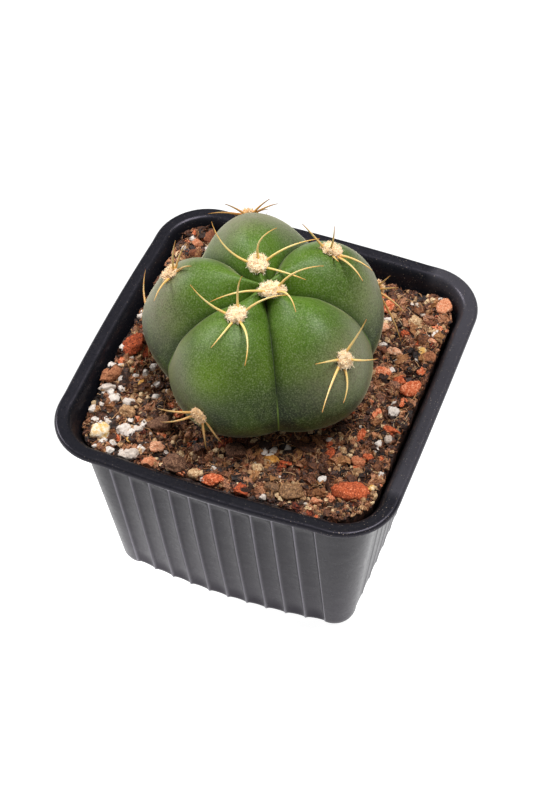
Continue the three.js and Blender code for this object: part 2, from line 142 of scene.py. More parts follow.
# Cactus body
AXIS_X = -0.4
AXIS_Y = -0.4
LEAN = math.radians(4.1)
EQUATOR = 66.1
RADIUS = 28
CROWN_RISE = 18.4
BELLY_DROP = 16
CROWN_DIMPLE = 2.3
DIMPLE_SPREAD = 0.28
FLANK_POWER = 0.68
RISE_POWER = 1.08
GROOVE_CROWN = 0.3
GROOVE_FLANK = 0.21
GROOVE_FOOT = 0.12
CREST_SINK = 0.29
CREST_ROUND = 0.14
CREST_POWER_CROWN = 1.8
CREST_POWER_EQUATOR = 1.4
CROWN_ANGLE = 20
FLANK_ANGLE = 65
BELLY_ANGLE = 115
SHOULDER_ANGLE = 122
FOOT_RADIUS = 18.5
ROOT_RADIUS = 4.5
ROOT_DROP = 27
ROOT_TIP_RADIUS = 1.6
ROOT_TIP_DROP = 44
CROWN_CORE = 2.2
SKIN_LEVELS = 110
SKIN_LEVEL_CROWDING = 1.25
FOOT_LEVELS = 16
FOOT_BEND = 0.55
HALF_RIB_STEPS = 28
CREST_CROWDING = 1.35
SWEEP_PIVOT = math.radians(60)
AREOLE_PRESS = 0.45
AREOLE_PRESS_REACH = 4.2

# Places where the skin swells or falls in along a crest: rib, place, push and reach
SWELLS = [
    ("left", 1.1, 0.9, 6.5), ("left", 0.8, -0.7, 6), ("front_left", 0.45, -0.4, 7),
    ("front_left", 0.85, 0.3, 7), ("back", 0.55, -0.4, 8),
]
# Where the skin is freshly grown, and the side where it has little bloom and painted sheen, in
# degrees
FRESH_PATCH = (-4.4, -25.3, 74.1)
FRESH_REACH = 5.5
PLAIN_SIDE = -78
PLAIN_WIDTH = 36
# How the grey bloom, partly real wax and partly painted sheen, sets in and ends, in shares of the
# way
# # from crown to root, and how it thins out from a rib's crest to its groove
BLOOM_AND_SHEEN_ONSET = 0.12
BLOOM_AND_SHEEN_END = 0.52
BLOOM_AND_SHEEN_FADE = 0.15
BLOOM_AND_SHEEN_BREADTH = 1.25
BLOOM_AND_SHEEN_FALL = 0.6

# Each rib: azimuth of its crest, swell past the others, sideways sweep on its way down, and
# # the share of the way from crown to root at which its grey bloom, partly painted sheen, begins
RIBS = {
    "left": (186.7, 0, 4.9, 0.13),
    "back": (119.6, 0.05, -4.9, 0.08),
    "right": (48.4, -0.03, -9, 0.24),
    "front_right": (-24.3, 0, -4, 0.17),
    "front_left": (-101.1, 0, 2.2, 0.26),
}

# Areoles: rib, place (0 crown centre, 1 equator), breadth, stretch and turn of the wool,
# age (0 fresh, 1 old), spines. Each spine: clock on the skin (0 towards the crown, 90 right),
# lift, length, bow off the skin and bend to the right, both as shares of the length.
AREOLES = [
    ("front_right", 0.065, 3.6, 1.7, 42, 0.1,
     [(-63, 12, 14.2, 0.13, -0.01), (137, 31, 13.1, 0.15, -0.02), (-163, 14, 10, 0.18, -0.1)]),
    ("back", 0.14, 4.3, 1.15, 0, 0.0,
     [(130, 39, 13.8, -0.08, -0.1), (-107, 61, 10.5, 0.18, -0.12), (-85, 23, 14.8, 0.1, -0.02),
      (-48, 8, 12, 0.04, 0.0)]),
    ("front_left", 0.27, 4.1, 1.1, 0, 0.05,
     [(-110, 34, 11.9, -0.06, -0.04), (9, 79, 10.5, -0.05, -0.12), (54, 27, 12.4, 0.1, -0.04),
      (176, 0, 10.5, 0.08, -0.04), (138, -6, 13, 0.14, -0.1)]),
    ("right", 0.49, 4.1, 1.1, 0, 0.25,
     [(10, 33, 11.3, -0.01, 0.08), (-14, 66, 8, 0, -0.06), (-89, 5, 11.6, 0.06, -0.04),
      (-100, 16, 11.4, 0.06, -0.04), (-67, 10, 5.5, 0, 0.0)]),
    ("left", 0.6, 3.6, 1.1, 0, 0.35,
     [(-11, 40, 9.4, 0.05, 0.04), (-12, 26, 9, 0.03, -0.04), (11, 2, 7.7, 0.04, -0.07),
      (85, 9, 9.6, 0.09, -0.04)]),
    ("front_right", 0.69, 3.5, 1.15, 0, 0.15,
     [(32, 43, 11.5, -0.03, 0.06), (112, 73, 9, 0, 0.04), (-60, 13, 9.3, 0.08, 0.02),
      (-113, 9, 12.5, 0.02, 0.04), (-142, 6, 8.8, 0.04, -0.1)]),
    ("back", 0.8, 2.6, 1, 0, 0.7,
     [(62, 0, 9.8, 0.06, 0.0), (36, 10, 7.8, 0.04, 0.0), (-48, 10, 7.6, 0.04, 0.0),
      (-62, 2, 8, 0.05, 0.0), (150, 12, 8.5, 0.05, 0.0), (-152, 12, 8.5, 0.05, 0.0)]),
    ("front_left", 0.95, 3.1, 1.25, 0, 0.6,
     [(-102, 10, 10, 0.06, 0.0), (-117, 19, 9.7, 0.06, -0.04), (169, 5, 9.5, 0.09, -0.06),
      (151, -10, 9.3, 0.08, -0.06)]),
    ("right", 1, 2.8, 1, 0, 0.6,
     [(-149, 6, 12, 0.05, 0.0), (-98, 18, 8.5, 0.05, 0.0), (-59, 30, 6, 0, 0.0),
      (-30, 20, 6, 0, 0.0), (135, 20, 8.5, 0.05, 0.0)]),
    ("left", 1.11, 2.7, 1, 0, 0.6,
     [(-64, 6, 12, 0.1, 0.0), (-105, 18, 8, 0.05, 0.0), (-152, 12, 7.5, 0.05, 0.0),
      (150, 12, 7.5, 0.05, 0.0)]),
    ("back", 1.14, 3.2, 1, 0, 0.9,
     [(-75, 20, 8.5, 0.04, 0.0), (-30, 30, 8, 0.04, 0.0), (35, 26, 8.5, 0.04, 0.0),
      (80, 18, 8, 0.04, 0.0)]),
]
WOOL_RISE = 0.5
WOOL_DETAIL = 5
WOOL_LUMPS = {"Roughness": 0.55, "Size": 1.1}
SPINE_ROOT_RADIUS = 0.34
SPINE_TIP_RADIUS = 0.06
SPINE_TAPER = 0.85
SPINE_SINK = 0.9
SPINE_SPREAD = 0.18
OLD_SPINE_AGES = (0.7, 0.9)
OLD_SPINE_SHARE = 0.6
SPINE_STEPS = 18
SPINE_SIDES = 7

# Larger stones in the soil's face: x, y, breadth, narrowness, heading and kind
STONES = [
    (-32.5, -18.2, 3.9, 0.6, 40, "pumice"), (-33.2, -15.5, 5.6, 0.7, 60, "umber"),
    (-29.4, -29.8, 4.8, 0.9, 20, "cream"), (-24.4, -27.2, 3.7, 0.9, 0, "pumice"),
    (-21.5, -26.3, 2.4, 0.9, 0, "pumice"), (-22, -29.2, 1.9, 0.9, 0, "cream"),
    (-20.6, -33.3, 4.2, 0.7, 30, "pumice"), (-26.7, -19.5, 2.8, 0.9, 0, "pumice"),
    (-30, -20.4, 2.8, 0.9, 0, "pumice"), (-25.9, -14.2, 2.4, 0.6, 90, "cream"),
    (-31.4, -5.7, 6.4, 0.7, 70, "brick"), (-28.2, -5.2, 4.7, 0.6, 100, "brick"),
    (-25.6, -22.8, 3.6, 0.9, 0, "grit"), (-17.3, -23.6, 5.2, 0.8, 20, "clod"),
    (-29, -26.4, 1.9, 0.9, 0, "pumice"), (-15.4, -29.7, 3.2, 0.9, 0, "salmon"),
    (-15.6, -33.8, 3.3, 0.9, 0, "salmon"), (28.7, -26.8, 7.8, 0.75, 12, "brick"),
    (16.7, -30.3, 5.6, 0.8, 10, "grit"), (31.9, 4.7, 4.6, 0.9, 40, "brick"),
    (29, 6.6, 3.5, 0.7, 20, "brick"), (27.3, -17.9, 3.4, 0.8, 0, "salmon"),
    (29.3, -16, 2.8, 0.9, 0, "brick"), (30.2, -12.3, 2, 0.9, 0, "pumice"),
    (31.9, -10.9, 2.4, 0.7, 90, "pumice"), (30.5, -14.1, 1.8, 0.9, 0, "pumice"),
    (31.4, -8.7, 4.3, 0.5, 0, "brick"), (20.7, -17.6, 3.1, 0.6, 90, "brick"),
    (19.6, -15.1, 2.6, 0.6, 90, "brick"), (25.5, -10.2, 3.4, 0.5, 90, "brick"),
    (27.2, -3.8, 2.6, 0.6, 90, "brick"), (31.6, 0.2, 3.4, 0.5, 90, "brick"),
    (30.1, -0.3, 2, 0.9, 0, "pumice"), (30.5, -3.3, 3.2, 0.8, 0, "pumice"),
    (23.2, -15.7, 2.4, 0.9, 0, "grit"), (28.3, -20.7, 2.4, 0.9, 0, "grit"),
    (32.6, -24.5, 2, 0.9, 0, "cream"), (14.6, -18.3, 5.7, 0.4, -10, "bark"),
    (22.2, -30.4, 2.6, 0.7, 0, "salmon"), (11.2, -19.2, 1.8, 0.9, 0, "pumice"),
    (-0.9, -33.2, 4.7, 0.8, 30, "brick"), (5.9, -33.4, 4, 0.8, 0, "brick"),
    (-5.2, -33.4, 3, 0.9, 0, "grit"), (-10.1, -32.7, 5.6, 0.7, -10, "clod"),
    (-7.9, -34.2, 2.3, 0.6, 0, "brick"), (9.4, -23.6, 3.3, 0.8, 0, "cream"),
    (12.7, -23.6, 2.7, 0.4, 0, "brick"), (8.7, -21, 2.3, 0.7, 90, "pumice"),
    (7.4, -27, 2.6, 0.9, 0, "grit"), (1.3, -24.8, 4.4, 0.9, 0, "clod"),
    (11.4, -34.1, 1.7, 0.9, 0, "pumice"), (12.3, -31.1, 3.2, 0.8, 0, "grit"),
    (31.9, 31.2, 5.2, 0.8, 70, "salmon"), (19.1, 27.4, 4.6, 0.5, 90, "brick"),
    (20.1, 20.6, 2.7, 0.9, 0, "salmon"), (26.1, 25.1, 3.6, 0.8, 60, "grit"),
    (24.8, 14.9, 3.6, 0.5, 0, "salmon"), (21.9, 14.7, 2.6, 0.8, 0, "umber"),
    (31, 15.8, 2.2, 0.8, 90, "cream"), (32.5, 21.8, 2.8, 0.7, 90, "pumice"),
    (30.7, 21, 1.7, 0.9, 0, "pumice"), (32.3, 19.4, 2.3, 0.6, 0, "salmon"),
    (33.2, 14.2, 3.5, 0.9, 0, "umber"), (32.7, 9.6, 2.4, 0.7, 90, "brick"),
    (24.2, 7.9, 3.7, 0.9, 0, "brick"), (27.2, 27.4, 1.3, 0.9, 0, "pumice"),
    (23.8, 30.8, 1.3, 0.9, 0, "pumice"), (24.9, 30.4, 1.3, 0.9, 0, "pumice"),
    (32.6, 24.2, 1.9, 0.7, 0, "brick"), (30.1, 24.9, 2.6, 0.6, 0, "umber"),
    (-27.9, 31.6, 4.2, 0.8, 90, "umber"), (-30, 28.6, 3, 0.8, 0, "salmon"),
    (-25.6, 29.9, 2.4, 0.9, 0, "umber"), (-29.6, 25.4, 3, 0.7, 40, "umber"),
]
STONE_SEED = 41
STONE_LUMPS = {"Roughness": 0.28, "Size": 0.9}
STONE_FLATNESS = (0.6, 0.8)
STONE_TILT = 0.3
STONE_LIFT = 0.5
STONE_RISE = (0.08, 0.2)
STONE_TINT = (0.3, 0.85)
LARGE_STONE = 3
# The flats of a broken stone, in shares of its ball's radius
STONE_CUTS = 11
CUT_DEPTH = (0.68, 0.98)
CUT_SLANT = 0.2
CUT_LIMIT = 1.12

# Fine roots: how many, their lengths and radii, and how they curl, stray and lie above the soil
ROOTLET_SEED = 17
ROOTLETS = 1400
ROOTLET_STEPS = 6
ROOTLET_SIDES = 4
ROOTLET_LENGTHS = (1, 5)
ROOTLET_RADII = (0.05, 0.12)
ROOTLET_CURL = 0.35
ROOTLET_STRAY = 0.3
ROOTLET_LIFT = 0.9
ROOTLET_WAVE = 0.5
ROOTLET_WAVE_TURN = 0.8
ROOTLET_WAVE_SHIFT = 9

# Camera, placed by the view of the rim and walls: eye, the way it looks, roll, focal length
EYE = Vector((97.043, -232.945, 363.675))
LOOK_AZIMUTH = math.radians(22.9)
LOOK_ELEVATION = math.radians(52.06)
ROLL = math.radians(-2.087)
FOCAL_LENGTH = 79.31
SENSOR_HEIGHT = 36

# Studio, in metres: the floor and what it gives off, the sky, and each softbox's name, place,
# breadth and power
FLOOR_REACH = 3
FLOOR_GLOW = 0.56
SKY_STRENGTH = 0.24
LIGHTS_AIM = Vector((0, 0, 0.05))
SOFTBOXES = [
    ("overhead softbox", (0.2, 0.12, 0.94), 0.4, 9.5),
    ("left softbox", (-0.8, 0.1, 0.65), 0.4, 7.0),
]


def tone(code):
    """An sRGB hex colour as linear red, green, blue and alpha."""
    parts = [int(code[i:i + 2], 16) / 255 for i in (0, 2, 4)]
    linear = [c / 12.92 if c <= 0.04045 else ((c + 0.055) / 1.055) ** 2.4 for c in parts]
    return (*linear, 1)


def fill_inputs(tree, node, values):
    """Fills a node's inputs, found by name or number, or links them to other nodes."""
    for key, value in values.items():
        if isinstance(key, int):
            socket = node.inputs[key]
        else:
            socket = next(s for s in node.inputs if s.enabled and s.name == key)
        if isinstance(value, bpy.types.Node):
            value = next(s for s in value.outputs if s.enabled)
        if isinstance(value, bpy.types.NodeSocket):
            tree.links.new(value, socket)
        else:
            socket.default_value = value


def add(tree, kind, settings=None, fill=None):
    """Adds a node to a tree, sets its properties, and fills or links its inputs."""
    node = tree.nodes.new(kind)
    for key, value in (settings or {}).items():
        setattr(node, key, value)
    fill_inputs(tree, node, fill or {})
    return node


def mix(low, high, share):
    """The value at a share of the way from low to high."""
    return low + (high - low) * share


def smoothstep(value, low, high):
    """0 below low, 1 above high, and an even rise with soft ends between them."""
    share = min(max((value - low) / (high - low), 0), 1)
    return share * share * (3 - 2 * share)


def make_mesh(name, points, faces=(), edges=(), **attributes):
    """A mesh from points and faces or edges, with a float attribute on its points for each name."""
    mesh = bpy.data.meshes.new(name)
    mesh.from_pydata([tuple(p) for p in points], list(edges), list(faces))
    for key, values in attributes.items():
        layer = mesh.attributes.new(key, "FLOAT", "POINT")
        layer.data.foreach_set("value", np.asarray(values, dtype=np.float32))
    mesh.update()
    return mesh


def loft(rings, first, last):
    """Points and faces of a closed skin through rings of equally many points, from one end point
    to another."""
    count = len(rings[0])
    points = [p for ring in rings for p in ring]
    faces = []
    for low in range(len(rings) - 1):
        for i in range(count):
            after = (i + 1) % count
            a, b = low * count + i, low * count + after
            faces.append((a, b, b + count, a + count))
    start = len(points) - count
    faces += [(len(points), (i + 1) % count, i) for i in range(count)]
    faces += [(start + i, start + (i + 1) % count, len(points) + 1) for i in range(count)]
    return points + [first, last], faces


def new_tree(name, sizes):
    """An empty geometry tree with a geometry input and output and a named input for each size."""
    tree = bpy.data.node_groups.new(name, "GeometryNodeTree")
    tree.interface.new_socket("Geometry", in_out="INPUT", socket_type="NodeSocketGeometry")
    for key, value in sizes.items():
        kind = "NodeSocketInt" if isinstance(value, int) else "NodeSocketFloat"
        tree.interface.new_socket(key, in_out="INPUT", socket_type=kind).default_value = value
    tree.interface.new_socket("Material", in_out="INPUT", socket_type="NodeSocketMaterial")
    tree.interface.new_socket("Geometry", in_out="OUTPUT", socket_type="NodeSocketGeometry")
    return tree, tree.nodes.new("NodeGroupInput").outputs


def end_tree(tree, geometry, given):
    """Closes a geometry tree with Realize Instances and Set Material."""
    real = add(tree, "GeometryNodeRealizeInstances", fill={"Geometry": geometry})
    painted = add(tree, "GeometryNodeSetMaterial",
                  fill={"Geometry": real, "Material": given["Material"]})
    add(tree, "NodeGroupOutput", fill={0: painted})
    return tree


def grow(mesh, tree, material, sizes=None):
    """Runs a geometry tree on a mesh and gives the plain mesh that comes out of it."""
    source = bpy.data.objects.new(mesh.name + "_source", mesh)
    bpy.context.collection.objects.link(source)
    modifier = source.modifiers.new("Form", "NODES")
    modifier.node_group = tree
    wanted = {**(sizes or {}), "Material": material}
    for item in tree.interface.items_tree:
        if item.in_out == "INPUT" and item.name in wanted:
            modifier[item.identifier] = wanted[item.name]
    graph = bpy.context.evaluated_depsgraph_get()
    result = bpy.data.meshes.new_from_object(
        source.evaluated_get(graph), preserve_all_data_layers=True, depsgraph=graph)
    bpy.data.objects.remove(source)
    return result


def finish_piece(name, mesh, slot, *nodes):
    """Scales a finished mesh to metres and puts it in the scene as a piece on the body."""
    mesh.transform(Matrix.Scale(MM, 4))
    mesh.name = name
    piece = bpy.data.objects.new(name, mesh)
    bpy.context.collection.objects.link(piece)
    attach(piece, BODY)
    if nodes:
        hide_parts(*nodes)
    return piece


# Materials

def new_material(name):
    """A material with its tree and shader, and the place on the object in millimetres."""
    material = bpy.data.materials.new(name)
    material.use_nodes = True
    tree = material.node_tree
    shader = next(n for n in tree.nodes if n.type == "BSDF_PRINCIPLED")
    place = add(tree, "ShaderNodeTexCoord").outputs["Object"]
    place = add(tree, "ShaderNodeVectorMath", {"operation": "SCALE"}, {0: place, "Scale": 1 / MM})
    return material, tree, shader, place.outputs[0]


def set_stops(ramp, stops):
    """Sets a ramp node's colours, each at its place, from the first to the last."""
    elements = ramp.color_ramp.elements
    for i in (0, -1):
        position, code = stops[i]
        elements[i].position = position
        elements[i].color = tone(code)
    for position, code in stops[1:-1]:
        elements.new(position).color = tone(code)


def waxy_skin():
    """Waxy living skin: deep green with uneven cells, a fine pale speckle and dark pores, yellower
    near the crown and where it is fresh, with painted shade darkening it low down, and under a
    greyish bronze bloom where the ribs are old, partly real wax and partly painted sheen. The
    grooves are darkened with painted shade into dark creases, with a thin pale seam low down."""
    material, tree, shader, place = new_material("waxy skin")
    across, polar, bloom_and_sheen, fresh = (
        add(tree, "ShaderNodeAttribute", {"attribute_name": name}).outputs["Fac"]
        for name in ("across", "polar", "bloom_and_sheen", "fresh"))
    # Small darker and lighter places all over, as of cells that grew unevenly
    mottle = add(tree, "ShaderNodeTexNoise", fill={
        "Vector": place, "Scale": 1 / 1.6, "Detail": 4.0, "Roughness": 0.6}).outputs["Fac"]
    uneven = add(tree, "ShaderNodeMath", {"operation": "MULTIPLY_ADD"}, {
        0: mottle, 1: 0.22, 2: -0.11})
    shifted = add(tree, "ShaderNodeMath", {"operation": "ADD"}, {0: polar, 1: uneven})
    # Yellow-green near the crown, darkening to nearly black under the belly: the dark lower part is
    # painted shade
    down = add(tree, "ShaderNodeValToRGB", fill={"Fac": shifted})
    set_stops(down, [(0.08, "4a6c10"), (0.26, "3e540c"), (0.4, "30420e"), (0.5, "1e280e"),
                     (0.6, "13190a"), (0.72, "12170a")])
    patches = add(tree, "ShaderNodeTexNoise", fill={
        "Vector": place, "Scale": 1 / 9, "Detail": 3.0, "Roughness": 0.55})
    patchy = add(tree, "ShaderNodeMapRange", fill={
        "Value": patches.outputs["Fac"], "From Min": 0.42, "From Max": 0.7, "To Max": 0.5})
    yellow = add(tree, "ShaderNodeMath", {"operation": "MAXIMUM"}, {0: patchy, 1: fresh})
    green = add(tree, "ShaderNodeMix", {"data_type": "RGBA"}, {
        "Factor": yellow, "A": down.outputs["Color"], "B": tone("577510")})
    thickness = add(tree, "ShaderNodeMapRange", fill={
        "Value": mottle, "From Min": 0.3, "From Max": 0.7, "To Min": 0.65, "To Max": 1.0})
    # The grey bloom: partly real wax and partly painted sheen on the ribs' flanks
    veil = add(tree, "ShaderNodeMath", {"operation": "MULTIPLY"}, {0: bloom_and_sheen, 1: thickness})
    hazy = add(tree, "ShaderNodeMix", {"data_type": "RGBA"}, {
        "Factor": veil, "A": green, "B": tone("7d7860")})
    # The skin's speckle is finer than this, and is drawn as coarse as it needs to show
    grain = add(tree, "ShaderNodeTexNoise", fill={
        "Vector": place, "Scale": 1 / 0.34, "Detail": 2.0, "Roughness": 0.6})
    flecks = add(tree, "ShaderNodeMapRange", fill={
        "Value": grain.outputs["Fac"], "From Min": 0.5, "From Max": 0.64, "To Max": 0.5})
    light = add(tree, "ShaderNodeMix", {"data_type": "RGBA"}, {
        "Factor": flecks, "A": hazy, "B": tone("7a865e")})
    pores = add(tree, "ShaderNodeMapRange", fill={
        "Value": grain.outputs["Fac"], "From Min": 0.46, "From Max": 0.34, "To Max": 0.45})
    speckled = add(tree, "ShaderNodeMix", {"data_type": "RGBA"}, {
        "Factor": pores, "A": light, "B": tone("17240a")})
    # Painted shade darkens the skin into the grooves, down to a dark line in the crease
    shade = add(tree, "ShaderNodeMapRange", {"interpolation_type": "SMOOTHSTEP"}, {
        "Value": across, "From Min": 0.84, "From Max": 1.0, "To Max": 0.45})
    line = add(tree, "ShaderNodeMapRange", {"interpolation_type": "SMOOTHSTEP"}, {
        "Value": across, "From Min": 0.982, "From Max": 0.998, "To Max": 0.9})
    groove_shade = add(tree, "ShaderNodeMath", {"operation": "MAXIMUM"}, {0: shade, 1: line})
    groove_shaded = add(tree, "ShaderNodeMix", {"data_type": "RGBA"}, {
        "Factor": groove_shade, "A": speckled, "B": tone("101c08")})
    # Low down the two ribs are joined by a thin pale seam
    seam_line = add(tree, "ShaderNodeMapRange", {"interpolation_type": "SMOOTHSTEP"}, {
        "Value": across, "From Min": 0.982, "From Max": 0.997, "To Max": 0.55})
    low = add(tree, "ShaderNodeMapRange", fill={
        "Value": polar, "From Min": 0.37, "From Max": 0.47})
    seam_share = add(tree, "ShaderNodeMath", {"operation": "MULTIPLY"}, {0: seam_line, 1: low})
    seamed = add(tree, "ShaderNodeMix", {"data_type": "RGBA"}, {
        "Factor": seam_share, "A": groove_shaded, "B": tone("7d9a3c")})
    relief = add(tree, "ShaderNodeBump", fill={
        "Strength": 0.35, "Distance": 0.08 * MM, "Height": grain.outputs["Fac"]})
    fill_inputs(tree, shader, {
        "Base Color": seamed, "Normal": relief, "Roughness": 0.5, "IOR": 1.4,
        "Sheen Weight": 0.42, "Sheen Roughness": 0.25, "Sheen Tint": tone("e2d8b4")})
    return material


def areole_felt():
    """Felt of short dry hairs: cream with tan hollows, partly its own colours and partly painted
    shade and highlight, and browner with age.
    """
    material, tree, shader, place = new_material("areole felt")
    tufts = add(tree, "ShaderNodeTexNoise", fill={
        "Vector": place, "Scale": 1 / 0.7, "Detail": 4.0, "Roughness": 0.65})
    # Tan in the hollows and cream on the tufts: partly the felt's own colours, partly painted shade
    # and highlight
    colour = add(tree, "ShaderNodeValToRGB", fill={"Fac": tufts.outputs["Fac"]})
    set_stops(colour, [(0.3, "dca468"), (0.54, "fde6be")])
    age = add(tree, "ShaderNodeAttribute", {"attribute_name": "age"}).outputs["Fac"]
    dried = add(tree, "ShaderNodeMix", {"data_type": "RGBA"}, {
        "Factor": age, "A": colour.outputs["Color"], "B": tone("d29a58")})
    relief = add(tree, "ShaderNodeBump", fill={
        "Strength": 0.5, "Distance": 0.12 * MM, "Height": tufts.outputs["Fac"]})
    fill_inputs(tree, shader, {
        "Base Color": dried, "Normal": relief, "Roughness": 0.9, "Sheen Weight": 0.4})
    return material


def hair_down():
    """Fine pale cream down on the areoles, browner with age."""
    material, tree, shader, _ = new_material("areole down")
    age = add(tree, "ShaderNodeAttribute", {"attribute_name": "age"}).outputs["Fac"]
    dried = add(tree, "ShaderNodeMix", {"data_type": "RGBA"}, {
        "Factor": age, "A": tone("fdeed2"), "B": tone("e0b478")})
    fill_inputs(tree, shader, {"Base Color": dried, "Roughness": 0.8, "Sheen Weight": 0.3})
    return material


def spine_horn():
    """Horny spine: glossy straw yellow with an amber root and tip, and amber to brown with age."""
    material, tree, shader, _ = new_material("horny spine")
    along, age = (add(tree, "ShaderNodeAttribute", {"attribute_name": name}).outputs["Fac"]
                  for name in ("along", "age"))
    straw = add(tree, "ShaderNodeValToRGB", fill={"Fac": along})
    set_stops(straw, [(0.05, "e0a34e"), (0.2, "ecca78"), (0.6, "f0d890"), (0.85, "e8bc68"),
                      (1, "c98a3c")])
    amber = add(tree, "ShaderNodeValToRGB", fill={"Fac": along})
    set_stops(amber, [(0, "d98b3c"), (0.5, "b87238"), (1, "4e3626")])
    colour = add(tree, "ShaderNodeMix", {"data_type": "RGBA"}, {
        "Factor": age, "A": straw.outputs["Color"], "B": amber.outputs["Color"]})
    fill_inputs(tree, shader, {
        "Base Color": colour, "Roughness": 0.38, "Subsurface Weight": 0.15,
        "Subsurface Scale": 0.3 * MM})
    return material


def thermoformed_polystyrene():
    """Thin black polystyrene, thermoformed: satin gloss and slight waves, painted shade darker
    towards the rim and a painted lighter grey towards the foot, painted highlights on the crests
    and rim, and a little soil dust below the rim."""
    material, tree, shader, place = new_material("thermoformed polystyrene")
    waves = add(tree, "ShaderNodeTexNoise", fill={
        "Vector": place, "Scale": 1 / 7, "Detail": 2.0})
    scuffs = add(tree, "ShaderNodeTexNoise", fill={
        "Vector": place, "Scale": 1 / 0.7, "Detail": 4.0, "Roughness": 0.7})
    height = add(tree, "ShaderNodeMath", {"operation": "MULTIPLY_ADD"}, {
        0: scuffs.outputs["Fac"], 1: 0.05, 2: waves.outputs["Fac"]})
    relief = add(tree, "ShaderNodeBump", fill={
        "Strength": 0.3, "Distance": 0.5 * MM, "Height": height})
    gloss = add(tree, "ShaderNodeMapRange", fill={
        "Value": scuffs.outputs["Fac"], "From Min": 0.3, "From Max": 0.7,
        "To Min": 0.24, "To Max": 0.4})
    # Specks of dust lie near the rim, fewer towards the right, drawn coarse enough to show
    dust = add(tree, "ShaderNodeTexNoise", fill={
        "Vector": place, "Scale": 1 / 0.3, "Detail": 1.0})
    parts = add(tree, "ShaderNodeSeparateXYZ", fill={0: place})
    upper = add(tree, "ShaderNodeMapRange", fill={
        "Value": parts.outputs["Z"], "From Min": 46.0, "From Max": 55.0, "To Max": 0.7})
    aside = add(tree, "ShaderNodeMapRange", fill={
        "Value": parts.outputs["X"], "From Min": 5.0, "From Max": 36.0, "To Min": 0.3})
    dusty = add(tree, "ShaderNodeMapRange", fill={
        "Value": dust.outputs["Fac"], "From Min": 0.7, "From Max": 0.75})
    specks = add(tree, "ShaderNodeMath", {"operation": "MULTIPLY"}, {0: dusty, 1: upper})
    specks = add(tree, "ShaderNodeMath", {"operation": "MULTIPLY"}, {0: specks, 1: aside})
    # Painted shade and light: darker towards the rim, under the flange, and a lighter grey towards
    # the foot
    shade_height = add(tree, "ShaderNodeMapRange", fill={
        "Value": parts.outputs["Z"], "From Min": 0.0, "From Max": POT_HEIGHT})
    shaded_black = add(tree, "ShaderNodeValToRGB", fill={"Fac": shade_height})
    set_stops(shaded_black, [(0, "2f2b33"), (0.45, "19171c"), (0.8, "0f0f13"), (1, "101116")])
    colour = add(tree, "ShaderNodeMix", {"data_type": "RGBA"}, {
        "Factor": specks, "A": shaded_black.outputs["Color"], "B": tone("b0a090")})
    # Painted highlights: the flutes' crests and ends and the rim are mixed towards pale grey
    worn = add(tree, "ShaderNodeAttribute", {"attribute_name": "worn"}).outputs["Fac"]
    highlight_strength = add(tree, "ShaderNodeMath", {"operation": "POWER"}, {0: worn, 1: 2.0})
    highlight_strength = add(tree, "ShaderNodeMath", {"operation": "MULTIPLY"}, {0: highlight_strength, 1: 0.85})
    highlighted = add(tree, "ShaderNodeMix", {"data_type": "RGBA"}, {
        "Factor": highlight_strength, "A": colour.outputs[2], "B": tone("9d99a3")})
    fill_inputs(tree, shader, {
        "Base Color": highlighted, "Roughness": gloss, "Normal": relief, "IOR": 1.34,
        "Specular Tint": tone("f4eaff")})
    return material


def mineral(name, codes, roughness, grit, contrast):
    """A stone or crumb: each grain has its own draw between the colours, with spots of the given
    contrast, and a relief as coarse as its grit in millimetres."""
    material, tree, shader, place = new_material(name)
    tint = add(tree, "ShaderNodeAttribute", {"attribute_name": "tint"}).outputs["Fac"]
    spots = add(tree, "ShaderNodeTexNoise", fill={
        "Vector": place, "Scale": 1 / grit, "Detail": 4.0, "Roughness": 0.7})
    spread = add(tree, "ShaderNodeMath", {"operation": "SUBTRACT"}, {
        0: spots.outputs["Fac"], 1: 0.5})
    pick = add(tree, "ShaderNodeMath", {"operation": "MULTIPLY_ADD"}, {
        0: spread, 1: contrast, 2: tint})
    colour = add(tree, "ShaderNodeValToRGB", fill={"Fac": pick})
    set_stops(colour, [(i / (len(codes) - 1), code) for i, code in enumerate(codes)])
    relief = add(tree, "ShaderNodeBump", fill={
        "Strength": 1.0, "Distance": 0.5 * grit * MM, "Height": spots.outputs["Fac"]})
    fill_inputs(tree, shader, {
        "Base Color": colour, "Normal": relief, "Roughness": roughness})
    return material


def soil_paints():
    """The materials of the mix, each with its colours from dark pores to pale grains."""
    return {
        # Moist, crumbly and nearly black, with tan fibres
        "peat": mineral("crumbled peat", ["0a0403", "2e170d", "6c3d26", "b67e58"], 0.6, 0.3, 2.8),
        # Dull brown earth that holds together
        "clod": mineral("loam clod", ["1c100a", "4e3020", "785440", "ac8462"], 0.95, 0.35, 2.4),
        # Tan grains, a little glossier than the rest
        "grit": mineral("quartz grit", ["2c1a10", "725034", "a87c52", "dcc096"], 0.7, 0.4, 2.0),
        # Brown flakes with pale broken edges
        "bark": mineral("pine bark", ["1c0e08", "4c2a17", "7c4a2a", "ab7848"], 0.7, 0.4, 2.0),
        # Matt orange red, dark in its pores
        "brick": mineral("crushed brick", ["34100a", "96401e", "c65a2c", "e6a078"], 0.9, 0.4, 2.6),
        # The same, faded and dusty
        "salmon": mineral("worn brick", ["6a2e1c", "ac5f3a", "cc8660", "e2bc9c"], 0.9, 0.35, 2.0),
        # Matt reddish brown
        "umber": mineral("baked clay", ["2e160c", "6a3a24", "8e5434", "b67c56"], 0.9, 0.35, 2.2),
        # Dusty white foam stone
        "pumice": mineral("pumice", ["86705f", "b8a799", "cfc2b7", "dfd5cc"], 0.85, 0.4, 1.3),
        # The same with broad ochre stains
        "cream": mineral("weathered pumice", ["9a5c1c", "c98c3c", "dcb064", "e8dcc8"],
                         0.85, 1.0, 1.8),
        # Dry fibres between rust and straw
        "fibre": mineral("dry root fibre", ["5a3018", "935a30", "c08e5e", "e2c6a2"],
                         0.6, 1.0, 0.9),
    }


# Pot

